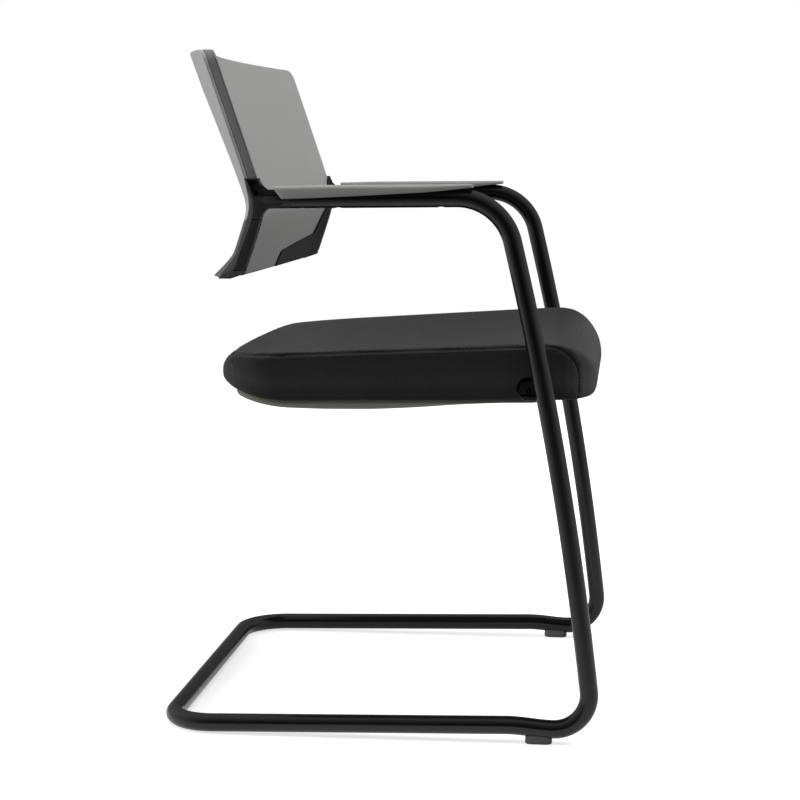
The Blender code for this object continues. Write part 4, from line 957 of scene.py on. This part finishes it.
def roundedEnd(u, full, nose, tail):  # eases a height to the nose and to the tail
    ends = ((u, seat["noseHeight"], nose), (seat["length"] - u, seat["tailHeight"], tail))
    for distance, end, (length, power) in ends:
        if distance < length:
            share = (1 - (1 - max(distance, 0) / length) ** power) ** (1 / power)
            return end + (full - end) * share
    return full


def cushionHalf(u):
    half = seatHalf
    for distance, (length, width) in ((u, seat["frontCorner"]), (seat["length"] - u, seat["rearCorner"])):
        if distance < length:
            half += width * (sqrt(max(1 - (1 - distance / length) ** 2, 0)) - 1)
    return half


def cushionUnder(u):
    low = blend(u / seat["length"], ((0, seat["underFront"]), (1, seat["underRear"])))
    return roundedEnd(u, low, *seat["underEnds"])


def cushionSection(u):  # closed ring in XZ: crowned top, drawn-in sides, rounded hem, flat underside
    half = cushionHalf(u)
    crown = softBlend(u / seat["length"], seat["crowns"], 0.08)
    seam = roundedEnd(u, seamHeight(u), *seat["topEnds"])
    top = roundedEnd(u, seamHeight(u) + crown, *seat["topEnds"])
    under = cushionUnder(u)
    dish = seat["dish"] * sin(pi * u / seat["length"])
    hem = min(seat["hem"], (seam - under) * 0.3)
    right = []
    for share in [sin(a) for a in quarter(22)[:-1]]:
        height = seam + (top - seam) * (1 - share ** seat["domed"]) - dish * (1 - share) ** 2
        right.append((half * share, height))
    for share in spread(0, 1, 10):
        pull = seat["sidePull"] * sin(pi * share) + hem * 0.3 * share ** 4
        right.append((half - pull, seam + (under + hem - seam) * share))
    for a in quarter(4)[1:]:
        right.append((half - hem * 0.3 - hem * 0.7 * (1 - cos(a)), under + hem * (1 - sin(a))))
    right.append((half * 0.55, under))
    return [Vector((x, noseY + u, seat["axisZ"] + z)) for x, z in bothSides(right)]


def inflate(piece):  # pads the cover out by cloth pressure, within a small swell
    remesh = piece.modifiers.new("even", "REMESH")
    remesh.mode = "VOXEL"
    remesh.voxel_size = seat["voxel"]
    settle(piece)
    mesh = piece.data
    outward = [v.normal.copy() for v in mesh.vertices]
    start = [v.co - normal * seat["slack"] for v, normal in zip(mesh.vertices, outward)]
    for v, co in zip(mesh.vertices, start):
        v.co = co
    mesh.update()
    cloth = piece.modifiers.new("cloth", "CLOTH")
    cloth.settings.use_pressure = True
    cloth.settings.uniform_pressure_force = seat["pressure"]
    cloth.settings.effector_weights.gravity = 0.0
    cloth.settings.quality = 4
    cloth.point_cache.frame_end = seat["frames"]
    for number in range(1, seat["frames"] + 1):
        scene.frame_set(number)
    settle(piece)
    scene.frame_set(1)
    mesh = piece.data
    for v, co, normal in zip(mesh.vertices, start, outward):
        rise = (v.co - co).dot(normal)
        v.co = co + normal * min(max(rise, seat["slack"]), seat["swell"])
    mesh.update()
    even = piece.modifiers.new("even", "CORRECTIVE_SMOOTH")
    even.iterations = 3
    even.use_only_smooth = True
    finer = piece.modifiers.new("finer", "SUBSURF")
    finer.levels = 1
    finer.render_levels = 1
    settle(piece)


sewing = {
    "arcLength": 0.038, "arcHeight": 0.0377, "frontU": 0.0216, "footRise": -0.006, "sideHeight": 0.0506,
    "rearHeight": 0.0361, "rearU": 0.40, "step": 0.002, "groove": 0.0014, "width": 0.0018, "puff": 0.0005,
    "row": 0.0032, "stitch": 0.0034, "pitch": 0.0050, "thread": 0.00055, "fine": 0.008, "reach": 0.02,
    "puffAt": 0.007, "puffWidth": 0.004, "cornerX": 0.16, "cornerSetback": 0.03,
}


def seamPlan():  # where to look for the side seam: (outside point, inward direction), near side to far side
    lift = seat["axisZ"]
    arcU = sewing["frontU"] + sewing["arcLength"]
    arcZ = sewing["sideHeight"] - sewing["arcHeight"]
    near = [(sewing["frontU"], z) for z in spread(sewing["footRise"], arcZ, 12)[:-1]]
    for a in quarter(30):
        near.append((arcU - sewing["arcLength"] * cos(a), arcZ + sewing["arcHeight"] * sin(a)))
    for u in spread(arcU, sewing["rearU"], 160)[1:]:
        near.append((u, blend(u, ((arcU, sewing["sideHeight"]), (sewing["rearU"], sewing["rearHeight"])))))
    rays = [(Vector((-1, noseY + u, lift + z)), alongX) for u, z in near]
    cornerY = noseY + sewing["rearU"] - sewing["cornerSetback"]
    centre = Vector((-sewing["cornerX"], cornerY, lift + sewing["rearHeight"]))
    for a in quarter(60)[1:]:
        inward = Vector((cos(a), -sin(a), 0))
        rays.append((centre - inward, inward))
    rays += [(Vector((x, 1, centre.z)), -alongY) for x in spread(centre.x, 0, 60)[1:]]
    return rays + [(otherSide(origin), otherSide(inward)) for origin, inward in reversed(rays[:-1])]


def evenly(points, step):  # the same line with points at an even distance
    made = [points[0]]
    ahead = step
    for a, b in zip(points, points[1:]):
        length = (b - a).length
        while ahead <= length:
            made.append(a.lerp(b, ahead / length))
            ahead += step
        ahead -= length
    return made


def sewCushion(piece):
    tree = BVHTree.FromObject(piece, bpy.context.evaluated_depsgraph_get())
    found = [tree.ray_cast(origin, direction)[0] for origin, direction in seamPlan()]
    line = evenly([point for point in found if point], sewing["step"])
    near = KDTree(len(line))
    for number, point in enumerate(line):
        near.insert(point, number)
    near.balance()
    bm = bmesh.new()
    bm.from_mesh(piece.data)
    close = [e for e in bm.edges if near.find((e.verts[0].co + e.verts[1].co) / 2)[2] < sewing["fine"]]
    bmesh.ops.subdivide_edges(bm, edges=close, cuts=1, use_grid_fill=True, smooth=0.6)
    bm.normal_update()
    moves = []
    for v in bm.verts:
        distance = near.find(v.co)[2]
        if distance < sewing["reach"]:
            sink = sewing["groove"] * exp(-(distance / sewing["width"]) ** 2)
            rise = sewing["puff"] * exp(-((distance - sewing["puffAt"]) / sewing["puffWidth"]) ** 2)
            moves.append((v, v.normal * (rise - sink)))
    for v, move in moves:
        v.co += move
    bm.to_mesh(piece.data)
    bm.free()
    return line


def makeStitches(cushion, line):  # a row of thread on each side of the seam
    tree = BVHTree.FromObject(cushion, bpy.context.evaluated_depsgraph_get())
    bm = bmesh.new()
    spots = evenly(line, sewing["pitch"])
    for number in range(1, len(spots) - 1):
        along = (spots[number + 1] - spots[number - 1]).normalized()
        normal = tree.find_nearest(spots[number])[1]
        across = along.cross(normal).normalized()
        for side in (-1, 1):
            place, normal = tree.find_nearest(spots[number] + across * (side * sewing["row"]))[:2]
            along = (along - normal * along.dot(normal)).normalized()
            beside = normal.cross(along)
            rings = []
            for part in (-1.0, -0.8, -0.4, 0.0, 0.4, 0.8, 1.0):
                bulge = sqrt(max(1 - part ** 2, 0.04))
                centre = place + along * (part * sewing["stitch"] / 2)
                centre = centre + normal * (sewing["thread"] * (0.9 * bulge - 0.35))
                rings.append(circle(centre, beside, normal, sewing["thread"] * bulge, 6))
            addLoft(bm, rings)
    bmesh.ops.recalc_face_normals(bm, faces=bm.faces)
    makePiece("seatStitching", bm, "seat_fabric", [])


board = {"foamSide": 0.040, "foamFront": 0.060, "foamRear": 0.060, "corner": 0.040, "notchPlay": 0.0035,
         "cutDepth": 0.072}
lug = {"radius": 0.0105, "inner": 0.0213, "outer": 0.008, "ledge": 0.002, "ledgeThickness": 0.005,
       "boltHole": 0.0029, "edgeRound": 0.0008}
boardBase, boardTop = [corner[2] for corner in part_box("seat_board")]


def lugOutline(radius, front):
    points = [(front, seat["axisZ"] - radius)]
    for a in spread(-pi / 2, pi / 2, 24):
        points.append((beamY + radius * cos(a), seat["axisZ"] + radius * sin(a)))
    return points + [(front, seat["axisZ"] + radius)]


def makeCushion():
    noseLength = seat["topEnds"][0][0]
    tailLength = seat["underEnds"][1][0]
    nose = [noseLength * (1 - cos(a)) for a in spread(seat["endCut"], pi / 2, 18)]
    tail = [seat["length"] - tailLength * (1 - cos(a)) for a in spread(pi / 2, seat["endCut"], 20)]
    stations = nose + spread(nose[-1], tail[0], 24)[1:-1] + tail
    bm = loft([cushionSection(u) for u in stations])
    piece = makePiece("seatCushion", bm, "seat_fabric", ["seat_cushion"], 80)
    inflate(piece)
    line = sewCushion(piece)
    deep = seat["axisZ"] - board["cutDepth"]
    half = seatHalf - board["foamSide"] + gap
    front = noseY + board["foamFront"] - gap
    rear = noseY + seat["length"] - board["foamRear"] + gap
    outline = roundedRectangle((-half, front), (half, rear), board["corner"], 12)
    pocket = loft([levelRing(outline, z) for z in (deep, boardTop + gap)])
    notch = lug["radius"] + board["notchPlay"]
    arch = lugOutline(notch, beamY - notch)
    arch[0] = (arch[0][0], deep)
    arch.insert(1, (beamY + notch, deep))
    notches = [prism(arch, side * (half - board["corner"]), side * sideX) for side in (-1, 1)]
    makeStitches(piece, line)
    carve(piece, [pocket] + notches, sharp=50)


def makeLug(side, name, node):
    outline = lugOutline(lug["radius"], legY(seat["axisZ"]))
    inner = side * (sideX - lug["inner"])
    bm = roundedPrism(outline, inner, side * (sideX - lug["ledge"]), lug["edgeRound"])
    piece = makePiece(name, bm, "frame_paint", [node])
    outer = side * (sideX - lug["outer"])
    low = (outer, beamY - 3 * lug["radius"], seat["axisZ"] - lug["radius"] + lug["ledgeThickness"])
    high = (side * sideX, beamY + 3 * lug["radius"], seat["axisZ"] + 3 * lug["radius"])
    middle = Vector((0, beamY, seat["axisZ"]))
    bolt = rod(middle + Vector((side * sideX, 0, 0)), middle + Vector((inner * 0.98, 0, 0)), lug["boltHole"])
    carve(piece, [tubeRoom(side), block(low, high), bolt])


# Seat under shell

shell = {"thickness": 0.003, "bowl": 0.013, "inset": 0.019, "front": 0.068, "tail": 0.0235, "lip": 0.006,
         "edgeRound": 0.0009, "bossR": 0.006, "headR": 0.0039, "counterbore": 0.005, "screwHole": 0.0024}
bowlShares = ((0, 0), (0.26, 0.46), (0.4, 0.8), (0.54, 1.0), (0.72, 0.97), (0.85, 0.785), (1, 0.785))


def shellBowl(u):
    length = seat["length"] - shell["tail"] - shell["front"]
    return shell["bowl"] * softBlend((u - shell["front"]) / length, bowlShares, 0.05)


def shellHalf(u):
    return min(seatHalf, cushionHalf(u)) - shell["inset"]


def shellLow(x, u):
    flat = 1 - min(abs(x) / shellHalf(u), 1) ** 12
    return seat["axisZ"] + cushionUnder(u) - 2 * gap - shell["thickness"] - shellBowl(u) * flat


def shellHigh(x, u):
    if u > seat["length"] - shell["tail"] - shell["lip"] / 2:
        return seat["axisZ"] + cushionUnder(u) - 2 * gap
    return shellLow(x, u) + shell["thickness"]


def makeShell():
    rearU = seat["length"] - shell["tail"]
    rows = spread(shell["front"], rearU - shell["lip"] * 0.55, 44)
    rows += [rearU - shell["lip"] * 0.45] + [rearU - e for e in edgeSteps(shell["edgeRound"])[::-1]]
    rings = []
    for u in rows:
        half = shellHalf(u)
        endInset = rim(min(rearU - u, u - shell["front"]), shell["edgeRound"])
        xs = [half * sin(a) for a in spread(-pi / 2, pi / 2, 72)]
        top = [Vector((x, noseY + u, shellHigh(x, u) - endInset)) for x in xs]
        base = [Vector((x, noseY + u, shellLow(x, u) + endInset)) for x in xs]
        rings.append(top + base[::-1])
    piece = makePiece("seatShell", loft(rings, True), "shell_plastic", ["seat_under_shell"], 50)
    for number in range(1, 5):
        low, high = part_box(f"shell_screw_{number}")
        x, y = [(low[i] + high[i]) / 2 for i in (0, 1)]
        face = shellLow(x, y - noseY)
        seatZ = face + shell["counterbore"]
        boss = post(x, y, face + shell["thickness"] / 2, boardBase - gap, shell["bossR"])
        carve(piece, [boss], "UNION", 50)
        well = post(x, y, face - 0.01, seatZ, shell["headR"])
        shank = post(x, y, seatZ - 0.001, boardBase, shell["screwHole"])
        carve(piece, [well, shank], "DIFFERENCE", 50)


# Screws

screwKinds = {  # how the nodes' names begin, and the radius of the shank
    "carrier_screw": 0.0013, "seat_lug": 0.0025, "arm_pad": 0.002,
    "board_screw": 0.0022, "shell_screw": 0.002,
}


def hexagon(centre, side, upward, size, sides):
    points = []
    for i in range(sides):
        a = 2 * pi * i / sides
        reach = size / cos((a % (pi / 3)) - pi / 6)
        points.append(centre + side * (reach * cos(a)) + upward * (reach * sin(a)))
    return points


def makeScrew(node, shank):  # button head with a hexagon socket
    low, high = [Vector(corner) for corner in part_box(node)]
    middle = (low + high) / 2
    into = up
    if high.x - low.x > high.z - low.z:
        into = -alongX if middle.x > 0 else alongX
    length = abs((high - low).dot(into))
    start = middle - into * (length / 2)
    head = shank * 1.75
    tall = shank * 1.1
    upward = into.cross(alongY)
    rings = [hexagon(start + into * (tall * along), alongY, upward, shank * part, 36)
             for along, part in ((0.55, 0.72), (0.02, 0.78))]
    for along, radius in ((0, head * 0.62), (0.12, head * 0.82), (0.4, head * 0.97), (0.55, head), (1, head),
                          (1, shank), (length / tall, shank)):
        rings.append(circle(start + into * (tall * along), alongY, upward, radius, 36))
    slot = next(p["material_slot"] for p in frame["record"]["subparts"] if p["node"] == node)
    name = "".join(word.capitalize() for word in node.split("_"))
    makePiece(name[0].lower() + name[1:], loft(rings), slot, [node], 30)


# Stage and light

stage = {"floor": 9.0, "floorGrey": 0.26, "floorSeen": 0.6, "glow": 0.58, "farGlow": 1.0, "farRadius": 1.3,
         "ambient": 0.17, "mirrorGlow": 0.4, "sideRise": 0.85, "sideLevel": 0.65, "farFall": 0.85,
         "farLevel": 0.1}
lamps = (  # name, place, aims at, size across and down, watts
    ("frontBox", (0.3, -2.2, 2.8), (0, 0, 0.4), 1.4, 1.4, 60),
    ("rearBox", (-0.6, 2.4, 1.4), (0, 0, 0.5), 1.0, 1.7, 43),
    ("topBox", (-0.95, -0.2, 2.7), (0, 0, 0.4), 1.6, 1.6, 25),
    ("farBox", (2.3, 0.3, 2.0), (0, 0, 0.4), 1.4, 1.4, 22),
)
photo = {"place": (-2.59387, -0.29643, 0.68085), "yaw": 0.114056, "pitch": 0.116165, "lens": 90.0}


def rayKinds(wire):  # whether a ray comes from the camera, from a mirror or through glass
    names = ("Is Camera Ray", "Is Glossy Ray", "Is Transmission Ray")
    return [wire.node("ShaderNodeLightPath", {}, {}, name) for name in names]


def sideLight(heading):  # what reflections see: dark behind the camera, white to the sides, grey beyond
    rising = heading.maths("MINIMUM", (heading + 1.0) * stage["sideRise"], stage["sideLevel"])
    return heading.maths("MINIMUM", rising, stage["farLevel"] + stage["farFall"] * (1 - heading))


def makeStage():
    bm = bmesh.new()
    bmesh.ops.create_grid(bm, x_segments=1, y_segments=1, size=stage["floor"] / 2)
    floor = newObject("floor", bm)
    material = bpy.data.materials.new("paleFloor")
    wire = emptyTree(material)
    spot = wire.node("ShaderNodeTexCoord", {}, {}, 3)
    reach = wire.node("ShaderNodeVectorMath", {"operation": "LENGTH"}, {0: spot}, 1)
    heading = parts(spot)[0] / reach
    fade = wire.maths("MINIMUM", reach / stage["farRadius"], 1.0)
    camera, mirror, glass = rayKinds(wire)
    plain = stage["glow"] + fade * (stage["farGlow"] - stage["glow"])
    near = stage["mirrorGlow"] + (1 - stage["mirrorGlow"]) * wire.maths("MAXIMUM", 0 - heading, 0.0)
    mirrored = near * (1 - fade) + fade * sideLight(heading)
    glow = wire.maths("MINIMUM", camera + glass, 1.0) * plain + mirror * mirrored
    grey = stage["floorGrey"] + camera * (stage["floorSeen"] - stage["floorGrey"])
    sockets = {"Base Color": grey, "Roughness": 0.9, "Specular IOR Level": 0.0,
               "Emission Color": glow, "Emission Strength": 1.0}
    shader = wire.node("ShaderNodeBsdfPrincipled", {}, sockets)
    wire.node("ShaderNodeOutputMaterial", {}, {"Surface": shader})
    floor.data.materials.append(material)
    world = bpy.data.worlds.new("studio")
    wire = emptyTree(world)
    camera, mirror, glass = rayKinds(wire)
    heading = parts(wire.node("ShaderNodeTexCoord", {}, {}, 0))[0]
    white = wire.maths("MINIMUM", camera + glass + mirror * sideLight(heading), 1.0)
    level = white + stage["ambient"] * (1 - wire.maths("MINIMUM", camera + glass + mirror, 1.0))
    sky = wire.node("ShaderNodeBackground", {}, {"Color": level, "Strength": 1.0})
    wire.node("ShaderNodeOutputWorld", {}, {"Surface": sky})
    scene.world = world


def makeLamps():
    for name, place, aim, wide, tall, watts in lamps:
        data = bpy.data.lights.new(name, "AREA")
        data.shape = "RECTANGLE"
        data.size = wide
        data.size_y = tall
        data.energy = watts
        lamp = bpy.data.objects.new(name, data)
        scene.collection.objects.link(lamp)
        lamp.location = place
        lamp.visible_glossy = False
        lamp.rotation_euler = (Vector(aim) - Vector(place)).to_track_quat("-Z", "Y").to_euler()


def makeCamera():
    data = bpy.data.cameras.new("photoCamera")
    data.lens = photo["lens"]
    data.sensor_width = 36.0
    camera = bpy.data.objects.new("photoCamera", data)
    scene.collection.objects.link(camera)
    level = cos(photo["pitch"])
    look = Vector((cos(photo["yaw"]) * level, sin(photo["yaw"]) * level, -sin(photo["pitch"])))
    right = look.cross(up).normalized()
    pose = Matrix((right, right.cross(look), -look)).transposed().to_4x4()
    pose.translation = photo["place"]
    camera.matrix_world = pose
    scene.camera = camera


makeCamera()
makeFrame()
print("tube frame made")
makePanel()
makeRearCover()
makeLowerCover()
makeCarrier()
print("back made")
pairs = (  # how a pair is made, its pieces' name and its nodes' name
    (makeGlide, "glide", "glide"), (makePad, "armPad", "arm_pad"),
    (makeBracket, "backBracket", "back_bracket"), (makeStrip, "backStrip", "back_edge_strip"),
    (makeRail, "backRail", "back_side_rail"), (makeLug, "seatLug", "seat_lug"),
)
for side, word in ((-1, "Left"), (1, "Right")):
    for makeOne, name, node in pairs:
        makeOne(side, name + word, f"{node}_{word.lower()}")
print("arms, brackets and lugs made")
makeShell()
makeCushion()
print("seat made")
for words, shank in screwKinds.items():
    for node in frame["nodes"]:
        if node.startswith(words) and ("screw" in node or "bolt" in node):
            makeScrew(node, shank)
print("screws made")
makeStage()
makeLamps()
scene.view_settings.view_transform = "Standard"
